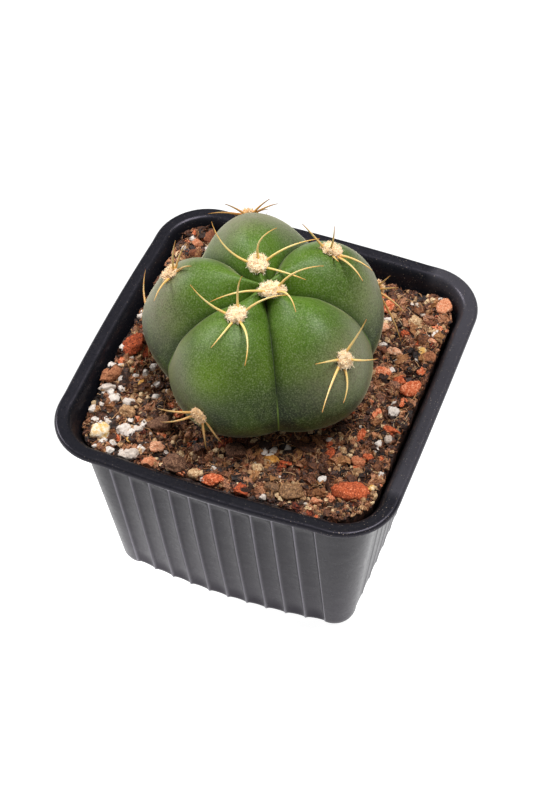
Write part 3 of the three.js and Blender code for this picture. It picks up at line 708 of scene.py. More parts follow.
def plan_ring(side, corner, z, bulges, flute=0.0, worn=0.0, shift=0.0):
    """One ring of the pot's plan: points, and for each its place along the wall, the way into
    the pot, the flutes' depth and the share of painted highlight there."""
    half = side / 2
    straight = half - corner
    field = FLUTES * FLUTE_PITCH / 2
    points, alongs, turns, depths, highlights = [], [], [], [], []
    steps = FLUTES * FLUTE_SAMPLES
    for wall in range(4):
        turn = math.radians(90 * wall)
        # Clear of the flutes each wall has its own share of painted highlight, and the corner
        # beside it too
        wall_worn = worn if flute else max(worn, min(worn * RIM_HIGHLIGHTS[wall], RIM_HIGHLIGHT_LIMIT))
        corner_worn = 0.0 if flute else wall_worn
        spots = [(shift - field - FLUTE_EDGE, -half, -field, 0.0, corner_worn)]
        for step in range(steps + 1):
            # The samples crowd at the narrow crests, where the section turns most
            flutes = step / FLUTE_SAMPLES
            flutes -= FLUTE_CROWDING * math.sin(math.tau * flutes) / math.tau
            along = flutes * FLUTE_PITCH - field
            bow = bulges[wall] * (1 - (along / field) ** 2)
            spots.append((along + shift, -half - bow, along, flute * FLUTE_SHARES[wall],
                          wall_worn))
        spots.append((shift + field + FLUTE_EDGE, -half, field, 0.0, corner_worn))
        for step in range(CORNER_STEPS + 1):
            angle = math.radians((step / CORNER_STEPS - 1) * 90)
            x = straight + corner * math.cos(angle)
            y = -half + corner + corner * math.sin(angle)
            spots.append((x, y, field, 0.0, corner_worn))
        for x, y, along, depth, highlight in spots:
            points.append((x * math.cos(turn) - y * math.sin(turn),
                           x * math.sin(turn) + y * math.cos(turn), z))
            alongs.append(along)
            turns.append(turn)
            depths.append(depth)
            highlights.append(highlight)
    return points, alongs, turns, depths, highlights


def wall_ring(z, inset, flute=0.0, worn=0.0):
    """A ring of the tapering, slightly bulging wall at a height."""
    rise = z / POT_HEIGHT
    side = mix(BASE_SIDE, WALL_TOP_SIDE, rise) - 2 * inset
    corner = mix(BASE_CORNER, WALL_TOP_CORNER, rise) - inset
    middle = WALL_BULGE * math.sin(math.pi * rise)
    bulges = [mix(low, high, rise) + middle for low, high in zip(FOOT_BULGES, RIM_BULGES)]
    return plan_ring(side, corner, z, bulges, flute, worn, FLUTE_SHIFT * rise)


def rim_ring(inset, z, worn):
    """A ring of the rim at an inset from its edge."""
    return plan_ring(RIM_SIDE - 2 * inset, RIM_CORNER - inset, z, RIM_BULGES, worn=worn)


def flute_depth(z):
    """The flutes' depth at a height."""
    return mix(FLUTE_DEPTH_FOOT, FLUTE_DEPTH_TOP, z / POT_HEIGHT)


def flute_tree():
    """Presses shallow troughs, with narrow crests between them, into the pot's walls, and marks
    a painted highlight on the crests where they stand out."""
    tree, given = new_tree("Flutes", {
        "Pitch": FLUTE_PITCH, "Crest Width": CREST_WIDTH, "Belly": TROUGH_BELLY,
        "Highlight Depth": HIGHLIT_CREST_DEPTH})
    along, turn, depth, worn = (
        add(tree, "GeometryNodeInputNamedAttribute", fill={"Name": name})
        for name in ("along_wall", "wall_turn", "flute_depth", "worn"))
    count = add(tree, "ShaderNodeMath", {"operation": "DIVIDE"}, {0: along, 1: given["Pitch"]})
    share = add(tree, "ShaderNodeMath", {"operation": "FLOORED_MODULO"}, {0: count, 1: 1.0})
    swing = add(tree, "ShaderNodeMath", {"operation": "MULTIPLY_ADD"}, {0: share, 1: 2.0, 2: -1.0})
    size = add(tree, "ShaderNodeMath", {"operation": "ABSOLUTE"}, {0: swing})
    away = add(tree, "ShaderNodeMath", {"operation": "SUBTRACT"}, {0: 1.0, 1: size})
    reach = add(tree, "ShaderNodeMath", {"operation": "DIVIDE"}, {0: away, 1: given["Crest Width"]})
    fall = add(tree, "ShaderNodeMath", {"operation": "MULTIPLY"}, {0: reach, 1: reach})
    fade = add(tree, "ShaderNodeMath", {"operation": "MULTIPLY"}, {0: fall, 1: -1.0})
    crest = add(tree, "ShaderNodeMath", {"operation": "EXPONENT"}, {0: fade})
    trough = add(tree, "ShaderNodeMath", {"operation": "SUBTRACT"}, {0: 1.0, 1: crest})
    square = add(tree, "ShaderNodeMath", {"operation": "MULTIPLY"}, {0: size, 1: size})
    belly = add(tree, "ShaderNodeMath", {"operation": "SUBTRACT"}, {0: 1.0, 1: square})
    section = add(tree, "ShaderNodeMix", fill={"Factor": given["Belly"], "A": trough, "B": belly})
    dent = add(tree, "ShaderNodeMath", {"operation": "MULTIPLY"}, {0: section, 1: depth})
    push = add(tree, "ShaderNodeCombineXYZ", fill={"Y": dent})
    stands_out = add(tree, "ShaderNodeMath", {"operation": "GREATER_THAN"}, {
        0: depth, 1: given["Highlight Depth"]})
    ridge = add(tree, "ShaderNodeMath", {"operation": "MULTIPLY"}, {0: crest, 1: stands_out})
    highlight_strength = add(tree, "ShaderNodeMath", {"operation": "MAXIMUM"}, {0: worn, 1: ridge})
    marked = add(tree, "GeometryNodeStoreNamedAttribute", fill={
        "Geometry": given["Geometry"], "Name": "worn", "Value": highlight_strength})
    inward = add(tree, "ShaderNodeVectorRotate", {"rotation_type": "Z_AXIS"}, {
        "Vector": push, "Angle": turn})
    pressed = add(tree, "GeometryNodeSetPosition", fill={"Geometry": marked, "Offset": inward})
    smooth = add(tree, "GeometryNodeSetShadeSmooth", fill={"Geometry": pressed})
    return end_tree(tree, smooth, given)


def make_pot(material):
    """The thin shell: foot, fluted walls, plain band, flange with its lip, rounded mouth, and the
    inside back down to the floor."""
    rings = []
    for angle in BASE_ROUND_ANGLES:
        turn = math.radians(angle)
        z = BASE_ROUND * (1 - math.cos(turn))
        inset = BASE_ROUND * (1 - math.sin(turn))
        share = mix(*FLUTE_FOOT_SHARES, z / BASE_ROUND)
        rings.append(wall_ring(z, inset, flute_depth(z) * share))
    wall_heights = [mix(FLUTE_FOOT, FLUTE_TOP, i / WALL_LEVELS) for i in range(WALL_LEVELS + 1)]
    rings += [wall_ring(z, 0, flute_depth(z)) for z in wall_heights]
    top_depth = flute_depth(FLUTE_TOP)
    for steps, inset, share, worn in FLUTE_END:
        rings.append(wall_ring(FLUTE_TOP + steps * FLUTE_STEP, inset, top_depth * share, worn))
    rings.append(wall_ring(BAND_TOP, -BAND_TOP_SWELL))
    rings += [rim_ring(*row) for row in RIM_SECTION]
    rings.append(wall_ring(FLUTE_TOP + FLUTE_STEP, WALL - BAND_SWELL))
    steps, inset, share, _ = FLUTE_END[0]
    rings.append(wall_ring(FLUTE_TOP + steps * FLUTE_STEP, WALL + inset, top_depth * share))
    rings += [wall_ring(z, WALL, flute_depth(z)) for z in reversed(wall_heights[::2])]
    rings.append(wall_ring(WALL + FLOOR_ROUND, BASE_ROUND))
    rings.append(wall_ring(WALL, BASE_ROUND + WALL))
    points, faces = loft([ring[0] for ring in rings], (0, 0, 0), (0, 0, WALL))
    # The two end points, in the middle of the base and the floor, carry no flutes and no painted
    # highlight
    along, turn, depth, worn = (
        [v for ring in rings for v in ring[k]] + [0, 0] for k in (1, 2, 3, 4))
    shell = make_mesh("pot_shell", points, faces,
                      along_wall=along, wall_turn=turn, flute_depth=depth, worn=worn)
    shell = grow(shell, flute_tree(), material)
    return finish_piece("pot_shell", bore_holes(shell), "pot_plastic", "pot")


def bore_holes(shell):
    """Cuts the ring of drain holes through the base."""
    target = bpy.data.objects.new("shell", shell)
    bpy.context.collection.objects.link(target)
    points, faces = [], []
    for i in range(HOLES):
        reach = HOLE_REACH * (CORNER_HOLE_SHARE if i % 2 else 1)
        turn = math.radians(360 / HOLES * i)
        x, y = reach * math.cos(turn), reach * math.sin(turn)
        rings = [[(x + HOLE_RADIUS * math.cos(math.tau * k / HOLE_SIDES),
                   y + HOLE_RADIUS * math.sin(math.tau * k / HOLE_SIDES), z)
                  for k in range(HOLE_SIDES)] for z in (-WALL, 2 * WALL)]
        own_points, own_faces = loft(rings, (x, y, -WALL), (x, y, 2 * WALL))
        faces += [[v + len(points) for v in face] for face in own_faces]
        points += own_points
    cutter = bpy.data.objects.new("drain_cutter", make_mesh("drain_cutter", points, faces))
    bpy.context.collection.objects.link(cutter)
    cut = target.modifiers.new("Drain", "BOOLEAN")
    cut.operation = "DIFFERENCE"
    cut.solver = "EXACT"
    cut.object = cutter
    graph = bpy.context.evaluated_depsgraph_get()
    result = bpy.data.meshes.new_from_object(
        target.evaluated_get(graph), preserve_all_data_layers=True, depsgraph=graph)
    bpy.data.objects.remove(target)
    bpy.data.objects.remove(cutter)
    return result


# Cactus

def place_angle(place):
    """The polar angle in degrees of a place along a crest."""
    return 90 * place ** (1 / FLANK_POWER)


def level_at(angle):
    """The body's radius and height at a polar angle in degrees, before its ribs."""
    turn = math.radians(angle)
    rise = math.copysign(abs(math.cos(turn)) ** RISE_POWER, math.cos(turn))
    dimple = CROWN_DIMPLE * math.exp(-(turn / DIMPLE_SPREAD) ** 2)
    height = (CROWN_RISE if angle < 90 else BELLY_DROP) * rise - dimple
    return RADIUS * math.sin(turn) ** FLANK_POWER, height


def groove_depth(angle):
    """The grooves' depth at a polar angle, as a share of the body's radius there."""
    if angle < FLANK_ANGLE:
        return mix(GROOVE_CROWN, GROOVE_FLANK, smoothstep(angle, CROWN_ANGLE, FLANK_ANGLE))
    return mix(GROOVE_FLANK, GROOVE_FOOT, smoothstep(angle, FLANK_ANGLE, BELLY_ANGLE))


def crest_azimuth(rib, angle):
    """The azimuth of a rib's crest at a polar angle."""
    azimuth, _, sweep, _ = RIBS[rib]
    return math.radians(azimuth + sweep * (math.radians(angle) - SWEEP_PIVOT))


def plant_matrix():
    """From the body's own axes to the pot's: the plant leans a little towards the front."""
    return Matrix.Translation((AXIS_X, AXIS_Y, EQUATOR)) @ Matrix.Rotation(LEAN, 4, "X")


def crest_frame(rib, place):
    """A point on a crest, with the directions up the rib, to the right and out of the skin."""
    angle = place_angle(place)

    def at(own_angle):
        """The crest's point at a polar angle."""
        radius, height = level_at(own_angle)
        azimuth = crest_azimuth(rib, own_angle)
        reach = radius * (1 + RIBS[rib][1])
        return Vector((reach * math.cos(azimuth), reach * math.sin(azimuth), height))

    azimuth = crest_azimuth(rib, angle)
    point = at(angle)
    # The way up the rib, from a little below the point to a little above it
    up = (at(angle * 0.97) - at(angle * 1.03)).normalized()
    right = Vector((-math.sin(azimuth), math.cos(azimuth), 0))
    return point, up, right, right.cross(up).normalized()


def rib_tree():
    """Draws the round body in between its crests, which makes the ribs and their grooves."""
    tree, given = new_tree("Ribs", {"Crest Round": CREST_ROUND})
    across, power, groove, sink = (
        add(tree, "GeometryNodeInputNamedAttribute", fill={"Name": name})
        for name in ("across", "power", "groove", "sink"))
    half = add(tree, "ShaderNodeMath", {"operation": "MULTIPLY"}, {0: power, 1: 0.5})
    round_part = add(tree, "ShaderNodeMath", {"operation": "MULTIPLY"}, {
        0: given["Crest Round"], 1: given["Crest Round"]})
    base = add(tree, "ShaderNodeMath", {"operation": "POWER"}, {0: round_part, 1: half})
    crown = add(tree, "ShaderNodeMath", {"operation": "ADD"}, {0: round_part, 1: 1.0})
    full = add(tree, "ShaderNodeMath", {"operation": "POWER"}, {0: crown, 1: half})
    square = add(tree, "ShaderNodeMath", {"operation": "MULTIPLY_ADD"}, {
        0: across, 1: across, 2: round_part})
    here = add(tree, "ShaderNodeMath", {"operation": "POWER"}, {0: square, 1: half})
    shape = add(tree, "ShaderNodeMapRange", {"clamp": False}, {
        "Value": here, "From Min": base, "From Max": full})
    cut = add(tree, "ShaderNodeMath", {"operation": "MULTIPLY"}, {0: shape, 1: groove})
    keep = add(tree, "ShaderNodeMath", {"operation": "SUBTRACT"}, {0: 1.0, 1: cut})
    drop = add(tree, "ShaderNodeMath", {"operation": "MULTIPLY"}, {0: shape, 1: sink})
    place = add(tree, "GeometryNodeInputPosition")
    parts = add(tree, "ShaderNodeSeparateXYZ", fill={0: place})
    x = add(tree, "ShaderNodeMath", {"operation": "MULTIPLY"}, {0: parts.outputs[0], 1: keep})
    y = add(tree, "ShaderNodeMath", {"operation": "MULTIPLY"}, {0: parts.outputs[1], 1: keep})
    z = add(tree, "ShaderNodeMath", {"operation": "SUBTRACT"}, {0: parts.outputs[2], 1: drop})
    moved = add(tree, "ShaderNodeCombineXYZ", fill={"X": x, "Y": y, "Z": z})
    ribbed = add(tree, "GeometryNodeSetPosition", fill={
        "Geometry": given["Geometry"], "Position": moved})
    smooth = add(tree, "GeometryNodeSetShadeSmooth", fill={"Geometry": ribbed})
    return end_tree(tree, smooth, given)


def body_levels():
    """Radius, height, groove, sink and polar angle of each level, from the crown to the root."""
    levels = []
    for step in range(SKIN_LEVELS):
        share = (step + 1) / SKIN_LEVELS
        angle = SHOULDER_ANGLE * share ** SKIN_LEVEL_CROWDING
        radius, height = level_at(angle)
        core = 1 - math.exp(-(radius / CROWN_CORE) ** 2)
        sink = CROWN_RISE * CREST_SINK * max(math.cos(math.radians(angle)), 0) * core
        levels.append((radius, height, groove_depth(angle), sink, angle))
    radius, height = level_at(SHOULDER_ANGLE)
    bends = [(radius, height), (FOOT_RADIUS, -BELLY_DROP),
             (2 * ROOT_RADIUS, mix(-BELLY_DROP, -ROOT_DROP, FOOT_BEND)),
             (ROOT_RADIUS, -ROOT_DROP)]
    for step in range(1, FOOT_LEVELS + 1):
        t = step / FOOT_LEVELS
        weights = ((1 - t) ** 3, 3 * t * (1 - t) ** 2, 3 * t * t * (1 - t), t ** 3)
        radius, height = (sum(w * b[k] for w, b in zip(weights, bends)) for k in (0, 1))
        levels.append((radius, height, GROOVE_FOOT * (1 - t), 0, SHOULDER_ANGLE))
    levels.append((ROOT_TIP_RADIUS, -ROOT_TIP_DROP, 0, 0, SHOULDER_ANGLE))
    return levels


def make_skin(material):
    """The ribbed body down to its root tip, with the skin's own values on its points."""
    names = list(RIBS)
    rings = []
    values = {key: [] for key in ("across", "power", "groove", "sink", "polar", "bare")}
    for radius, height, groove, sink, angle in body_levels():
        ring = []
        share = smoothstep(angle, CROWN_ANGLE, 90)
        power = mix(CREST_POWER_CROWN, CREST_POWER_EQUATOR, share)
        for k, rib in enumerate(names):
            here = crest_azimuth(rib, angle)
            for step in range(-HALF_RIB_STEPS, HALF_RIB_STEPS):
                # The points crowd at the grooves, where the section turns most
                across = 1 - (1 - abs(step) / HALF_RIB_STEPS) ** CREST_CROWDING
                side = names[(k + (1 if step >= 0 else -1)) % len(names)]
                turn = (crest_azimuth(side, angle) - here + math.pi) % math.tau - math.pi
                azimuth = here + across * turn / 2
                swell = 1 + mix(RIBS[rib][1], (RIBS[rib][1] + RIBS[side][1]) / 2, across)
                ring.append((radius * swell * math.cos(azimuth),
                             radius * swell * math.sin(azimuth), height))
                bare = mix(RIBS[rib][3], (RIBS[rib][3] + RIBS[side][3]) / 2, across)
                row = (across, power, groove, sink, angle / 180, bare)
                for key, value in zip(values, row):
                    values[key].append(value)
        rings.append(ring)
    top = (0, 0, CROWN_RISE - CROWN_DIMPLE)
    tip = (0, 0, -ROOT_TIP_DROP - 1)
    points, faces = loft(rings, top, tip)
    faces = [tuple(reversed(face)) for face in faces]
    for key, value in zip(values, (0, CREST_POWER_CROWN, 0, 0, 0, 1)):
        values[key] += [value, value]
    skin = make_mesh("cactus_skin", points, faces, **values)
    skin = grow(skin, rib_tree(), material)
    skin.transform(plant_matrix())
    add_skin_marks(skin)
    return finish_piece("cactus_skin", skin, "cactus_skin", "cactus")


def add_skin_marks(skin):
    """Presses a dimple under each areole, swells or sinks the skin in a few places, and notes where
    the bloom, partly painted sheen, and the fresh growth are."""
    count = len(skin.vertices)
    where = np.empty(count * 3, dtype=np.float32)
    skin.vertices.foreach_get("co", where)
    where = where.reshape(-1, 3)
    across, polar, bare = (np.empty(count, dtype=np.float32) for _ in range(3))
    for key, values in (("across", across), ("polar", polar), ("bare", bare)):
        skin.attributes[key].data.foreach_get("value", values)
    matrix = plant_matrix()
    presses = [(row[0], row[1], -AREOLE_PRESS, AREOLE_PRESS_REACH) for row in AREOLES]
    for rib, place, push, reach in presses + SWELLS:
        point, _, _, out = crest_frame(rib, place)
        near = np.exp(-(np.linalg.norm(where - np.array(matrix @ point), axis=1) / reach) ** 2)
        where += near[:, None] * np.array(matrix.to_3x3() @ out) * push
    skin.vertices.foreach_set("co", where.ravel())
    # Grey old wax and painted sheen lie below the shoulder of each rib, but hardly on the side
    # towards the front
    old = np.clip((polar - bare) / BLOOM_AND_SHEEN_ONSET, 0, 1)
    old *= np.clip((BLOOM_AND_SHEEN_END - polar) / BLOOM_AND_SHEEN_FADE, 0, 1)
    azimuth = np.degrees(np.arctan2(where[:, 1], where[:, 0]))
    plain = np.exp(-((azimuth - PLAIN_SIDE) / PLAIN_WIDTH) ** 2)
    crest = np.clip(BLOOM_AND_SHEEN_BREADTH - across * BLOOM_AND_SHEEN_BREADTH, 0, 1) ** BLOOM_AND_SHEEN_FALL
    fresh = np.exp(-(np.linalg.norm(where - np.array(FRESH_PATCH), axis=1) / FRESH_REACH) ** 2)
    for key, values in (("bloom_and_sheen", old * (1 - plain) * crest), ("fresh", fresh)):
        layer = skin.attributes.new(key, "FLOAT", "POINT")
        layer.data.foreach_set("value", values.astype(np.float32))
    skin.update()


def spine_points(areole_frame, spine, spread):
    """Points along a spine's middle, from its root in the skin to its tip."""
    point, up, right, out = areole_frame
    clock, lift, length, bow, bend = spine
    clock, lift = math.radians(clock), math.radians(lift)
    along_skin = up * math.cos(clock) + right * math.sin(clock)
    direction = along_skin * math.cos(lift) + out * math.sin(lift)
    sideways = direction.cross(out).normalized()
    arch = sideways.cross(direction).normalized()
    points = []
    for step in range(SPINE_STEPS + 1):
        share = step / SPINE_STEPS
        swing = 4 * share * (1 - share) * length
        root = (along_skin * spread - out * SPINE_SINK) * (1 - share)
        points.append(point + root + direction * length * share
                      + arch * bow * swing + sideways * bend * swing)
    return points


def tube_tree():
    """Turns drawn lines into round tapering threads by the thickness on their points."""
    tree, given = new_tree("Threads", {"Sides": SPINE_SIDES})
    thick = add(tree, "GeometryNodeInputNamedAttribute", fill={"Name": "thick"})
    lines = add(tree, "GeometryNodeMeshToCurve", fill={"Mesh": given["Geometry"]})
    section = add(tree, "GeometryNodeCurvePrimitiveCircle", fill={
        "Resolution": given["Sides"], "Radius": 1.0})
    threads = add(tree, "GeometryNodeCurveToMesh", fill={
        "Curve": lines, "Profile Curve": section, "Scale": thick, "Fill Caps": True})
    smooth = add(tree, "GeometryNodeSetShadeSmooth", fill={"Geometry": threads})
    return end_tree(tree, smooth, given)


def make_spines(material, tree):
    """All the curved spines, each drawn out from a thick root to a fine tip."""
    points, edges, thick, along, age = [], [], [], [], []
    for rib, place, wool, _, _, old, spines in AREOLES:
        areole_frame = crest_frame(rib, place)
        slim = mix(1, OLD_SPINE_SHARE, smoothstep(old, *OLD_SPINE_AGES))
        for spine in spines:
            start = len(points)
            points += spine_points(areole_frame, spine, wool * SPINE_SPREAD)
            edges += [(start + i, start + i + 1) for i in range(SPINE_STEPS)]
            for step in range(SPINE_STEPS + 1):
                share = step / SPINE_STEPS
                radius = mix(SPINE_TIP_RADIUS, SPINE_ROOT_RADIUS, (1 - share) ** SPINE_TAPER)
                thick.append(slim * radius)
                along.append(share)
                age.append(old)
    lines = make_mesh("spines", points, edges=edges, thick=thick, along=along, age=age)
    threads = grow(lines, tree, material)
    threads.transform(plant_matrix())
    return finish_piece("spines", threads, "cactus_skin")


def down_tree():
    """Covers a surface in short bent hairs, thicker than real ones so that they show, and leaves
    only the hairs."""
    tree, given = new_tree("Down", {
        "Hairs per Area": 9.0, "Hair Length": 0.5, "Tangle": 1.2, "Seed": 7})
    roots = add(tree, "GeometryNodeDistributePointsOnFaces", fill={
        "Mesh": given["Geometry"], "Density": given["Hairs per Area"], "Seed": given["Seed"]})
    stray = add(tree, "FunctionNodeRandomValue", {"data_type": "FLOAT_VECTOR"}, {
        "Min": (-1, -1, -1), "Max": (1, 1, 1), "Seed": given["Seed"]})
    wild = add(tree, "ShaderNodeVectorMath", {"operation": "SCALE"}, {
        0: stray, "Scale": given["Tangle"]})
    way = add(tree, "ShaderNodeVectorMath", {"operation": "ADD"}, {
        0: roots.outputs["Normal"], 1: wild})
    turn = add(tree, "FunctionNodeAlignRotationToVector", {"axis": "Z"}, {"Vector": way})
    long = add(tree, "FunctionNodeRandomValue", fill={"Min": 0.4, "Max": 1.3, "Seed": 3})
    hair = add(tree, "GeometryNodeMeshCone", {"fill_type": "NONE"}, {
        "Vertices": 3, "Side Segments": 2, "Radius Top": 0.02, "Radius Bottom": 0.06,
        "Depth": given["Hair Length"]})
    hairs = add(tree, "GeometryNodeInstanceOnPoints", fill={
        "Points": roots.outputs["Points"], "Instance": hair.outputs["Mesh"], "Rotation": turn,
        "Scale": long})
    loose = add(tree, "GeometryNodeRealizeInstances", fill={"Geometry": hairs})
    place = add(tree, "GeometryNodeInputPosition")
    curl = add(tree, "ShaderNodeTexNoise", {"normalize": False}, {
        "Vector": place, "Scale": 1.6, "Detail": 1.0})
    bend = add(tree, "ShaderNodeVectorMath", {"operation": "SCALE"}, {
        0: curl.outputs["Color"], "Scale": 0.35})
    curled = add(tree, "GeometryNodeSetPosition", fill={"Geometry": loose, "Offset": bend})
    return end_tree(tree, curled, given)


def make_wool(ruffle, felt, down):
    """The woolly cushions of the areoles and the down on them, as two pieces."""
    points, faces, age = [], [], []
    ball_points, ball_faces = ball_shape(WOOL_DETAIL)
    for rib, place, wool, stretch, heading, old, _ in AREOLES:
        point, up, right, out = crest_frame(rib, place)
        turn = Matrix.Rotation(math.radians(heading), 3, out)
        half = wool / 2
        start = len(points)
        for v in ball_points:
            flat = turn @ (right * v[0] + up * v[1] * stretch)
            points.append(point + (flat + out * v[2] * WOOL_RISE) * half)
        faces += [[i + start for i in face] for face in ball_faces]
        age += [old] * len(ball_points)
    cushions = make_mesh("areole_cushions", points, faces, age=age)
    cushions = grow(cushions, ruffle, felt, WOOL_LUMPS)
    hairs = grow(cushions.copy(), down_tree(), down)
    for name, mesh in (("areole_cushions", cushions), ("areole_down", hairs)):
        mesh.transform(plant_matrix())
        finish_piece(name, mesh, "cactus_skin")


def ball_shape(levels):
    """Points and faces of a round ball of triangles."""
    ball = bmesh.new()
    bmesh.ops.create_icosphere(ball, subdivisions=levels, radius=1)
    shape = ([tuple(v.co) for v in ball.verts], [[v.index for v in f.verts] for f in ball.faces])
    ball.free()
    return shape


def ruffle_tree():
    """Makes a smooth surface lumpy: lumps of the given size and roughness, in millimetres."""
    tree, given = new_tree("Ruffle", {"Roughness": 0.3, "Size": 2.0})
    place = add(tree, "GeometryNodeInputPosition")
    scale = add(tree, "ShaderNodeMath", {"operation": "DIVIDE"}, {0: 1.0, 1: given["Size"]})
    noise = add(tree, "ShaderNodeTexNoise", {"normalize": False}, {
        "Vector": place, "Scale": scale, "Detail": 4.0, "Roughness": 0.6})
    height = add(tree, "ShaderNodeMath", {"operation": "MULTIPLY"}, {
        0: noise.outputs["Fac"], 1: given["Roughness"]})
    normal = add(tree, "GeometryNodeInputNormal")
    lift = add(tree, "ShaderNodeVectorMath", {"operation": "SCALE"}, {0: normal, "Scale": height})
    rough = add(tree, "GeometryNodeSetPosition", fill={
        "Geometry": given["Geometry"], "Offset": lift})
    smooth = add(tree, "GeometryNodeSetShadeSmooth", fill={"Geometry": rough})
    return end_tree(tree, smooth, given)


# Soil

def soil_height(x, y):
    """The loose face of the mix: low waves, mounds at the plant and the back left corner, a hollow
    at the front left corner, and banks along the left and right walls."""
    waves = (0.45 * math.sin(x * 0.31 + 1.1) * math.cos(y * 0.27 - 0.6)
             + 0.3 * math.sin(x * 0.83 - y * 0.71) + 0.2 * math.cos(x * 1.3 + y * 1.1 + 2))
    mounds = sum(rise * math.exp(-((x - at_x) ** 2 + (y - at_y) ** 2) / spread)
                 for at_x, at_y, rise, spread in SOIL_MOUNDS)
    left = sum(rise * smoothstep(y, low, high) for rise, low, high in LEFT_BANKS)
    banks = left * smoothstep(-x, *LEFT_BANK_REACH) + RIGHT_BANK * smoothstep(x, *RIGHT_BANK_REACH)
    return SOIL_TOP + waves + mounds + banks - y * SOIL_SLOPE


def inside_mouth(x, y, clear):
    """Whether a point is within the soil's face, clear of its edge by the given distance."""
    half = SOIL_SIDE / 2 - clear
    corner = SOIL_CORNER - clear
    dx = max(abs(x) - half + corner, 0)
    dy = max(abs(y) - half + corner, 0)
    return math.hypot(dx, dy) < corner


def finish_soil(name, mesh):
    """Finishes a piece of the mix, with each point that would pass the pot's wall held back."""
    where = np.empty(len(mesh.vertices) * 3, dtype=np.float32)
    mesh.vertices.foreach_get("co", where)
    where = where.reshape(-1, 3)
    core = SOIL_LIMIT - SOIL_CORNER
    inner = np.clip(where[:, :2], -core, core)
    off = where[:, :2] - inner
    reach = np.linalg.norm(off, axis=1)
    off *= np.minimum(1, SOIL_CORNER / np.maximum(reach, LEAST_REACH))[:, None]
    where[:, :2] = inner + off
    mesh.vertices.foreach_set("co", where.ravel())
    mesh.update()
    return finish_piece(name, mesh, "soil")


def scatter_tree():
    """Scatters grains over a surface: uneven balls, turned at random, more of them small than
    large, and each raised by a share of its half breadth."""
    tree, given = new_tree("Scatter", {
        "Density": 1.0, "Spacing": 0.5, "Smallest": 0.6, "Largest": 1.4, "Flatness": 0.7,
        "Stretch": 1.3, "Rise": 0.2, "Unevenness": 0.35, "Detail": 1, "Seed": 1})
    room = add(tree, "GeometryNodeInputNamedAttribute", fill={"Name": "room"})
    spots = add(tree, "GeometryNodeDistributePointsOnFaces", {"distribute_method": "POISSON"}, {
        "Mesh": given["Geometry"], "Distance Min": given["Spacing"],
        "Density Max": given["Density"], "Density Factor": room, "Seed": given["Seed"]})
    draw = add(tree, "FunctionNodeRandomValue", fill={
        "Min": 0.0, "Max": 1.0, "Seed": given["Seed"]})
    bias = add(tree, "ShaderNodeMath", {"operation": "POWER"}, {0: draw, 1: 1.8})
    breadth = add(tree, "ShaderNodeMapRange", fill={
        "Value": bias, "To Min": given["Smallest"], "To Max": given["Largest"]})
    step = add(tree, "ShaderNodeMath", {"operation": "ADD"}, {0: given["Seed"], 1: 11.0})
    turn = add(tree, "FunctionNodeRandomValue", {"data_type": "FLOAT_VECTOR"}, {
        "Min": (-0.6, -0.6, 0), "Max": (0.6, 0.6, math.tau), "Seed": step})
    half = add(tree, "ShaderNodeMath", {"operation": "MULTIPLY"}, {0: breadth, 1: 0.5})
    flat = add(tree, "ShaderNodeMath", {"operation": "MULTIPLY"}, {
        0: half, 1: given["Flatness"]})
    long = add(tree, "ShaderNodeMath", {"operation": "MULTIPLY"}, {0: half, 1: given["Stretch"]})
    size = add(tree, "ShaderNodeCombineXYZ", fill={"X": long, "Y": half, "Z": flat})
    rise = add(tree, "ShaderNodeMath", {"operation": "MULTIPLY"}, {0: half, 1: given["Rise"]})
    lift = add(tree, "ShaderNodeCombineXYZ", fill={"Z": rise})
    raised = add(tree, "GeometryNodeSetPosition", fill={
        "Geometry": spots.outputs["Points"], "Offset": lift})
    grain = add(tree, "GeometryNodeMeshIcoSphere", fill={
        "Radius": 1.0, "Subdivisions": given["Detail"]})
    grains = add(tree, "GeometryNodeInstanceOnPoints", fill={
        "Points": raised, "Instance": grain.outputs["Mesh"], "Rotation": turn, "Scale": size})
    tint = add(tree, "FunctionNodeRandomValue", fill={"Min": 0.0, "Max": 1.0, "Seed": 5})
    tinted = add(tree, "GeometryNodeStoreNamedAttribute", {"domain": "INSTANCE"}, {
        "Geometry": grains, "Name": "tint", "Value": tint})
    wide = add(tree, "GeometryNodeStoreNamedAttribute", {"domain": "INSTANCE"}, {
        "Geometry": tinted, "Name": "breadth", "Value": breadth})
    loose = add(tree, "GeometryNodeRealizeInstances", fill={"Geometry": wide})
    own = add(tree, "GeometryNodeInputNamedAttribute", fill={"Name": "breadth"})
    place = add(tree, "GeometryNodeInputPosition")
    noise = add(tree, "ShaderNodeTexNoise", {"normalize": False}, {
        "Vector": place, "Scale": 1.4, "Detail": 3.0, "Roughness": 0.6})
    amount = add(tree, "ShaderNodeMath", {"operation": "MULTIPLY"}, {
        0: own, 1: given["Unevenness"]})
    offset = add(tree, "ShaderNodeVectorMath", {"operation": "SCALE"}, {
        0: noise.outputs["Color"], "Scale": amount})
    uneven = add(tree, "GeometryNodeSetPosition", fill={"Geometry": loose, "Offset": offset})
    return end_tree(tree, uneven, given)


def pale_share(x, _):
    """How much pale grit there is at a place: most on the left, little on the right."""
    return mix(PALE_SHARE, 1, smoothstep(-x, *PALE_REACH))


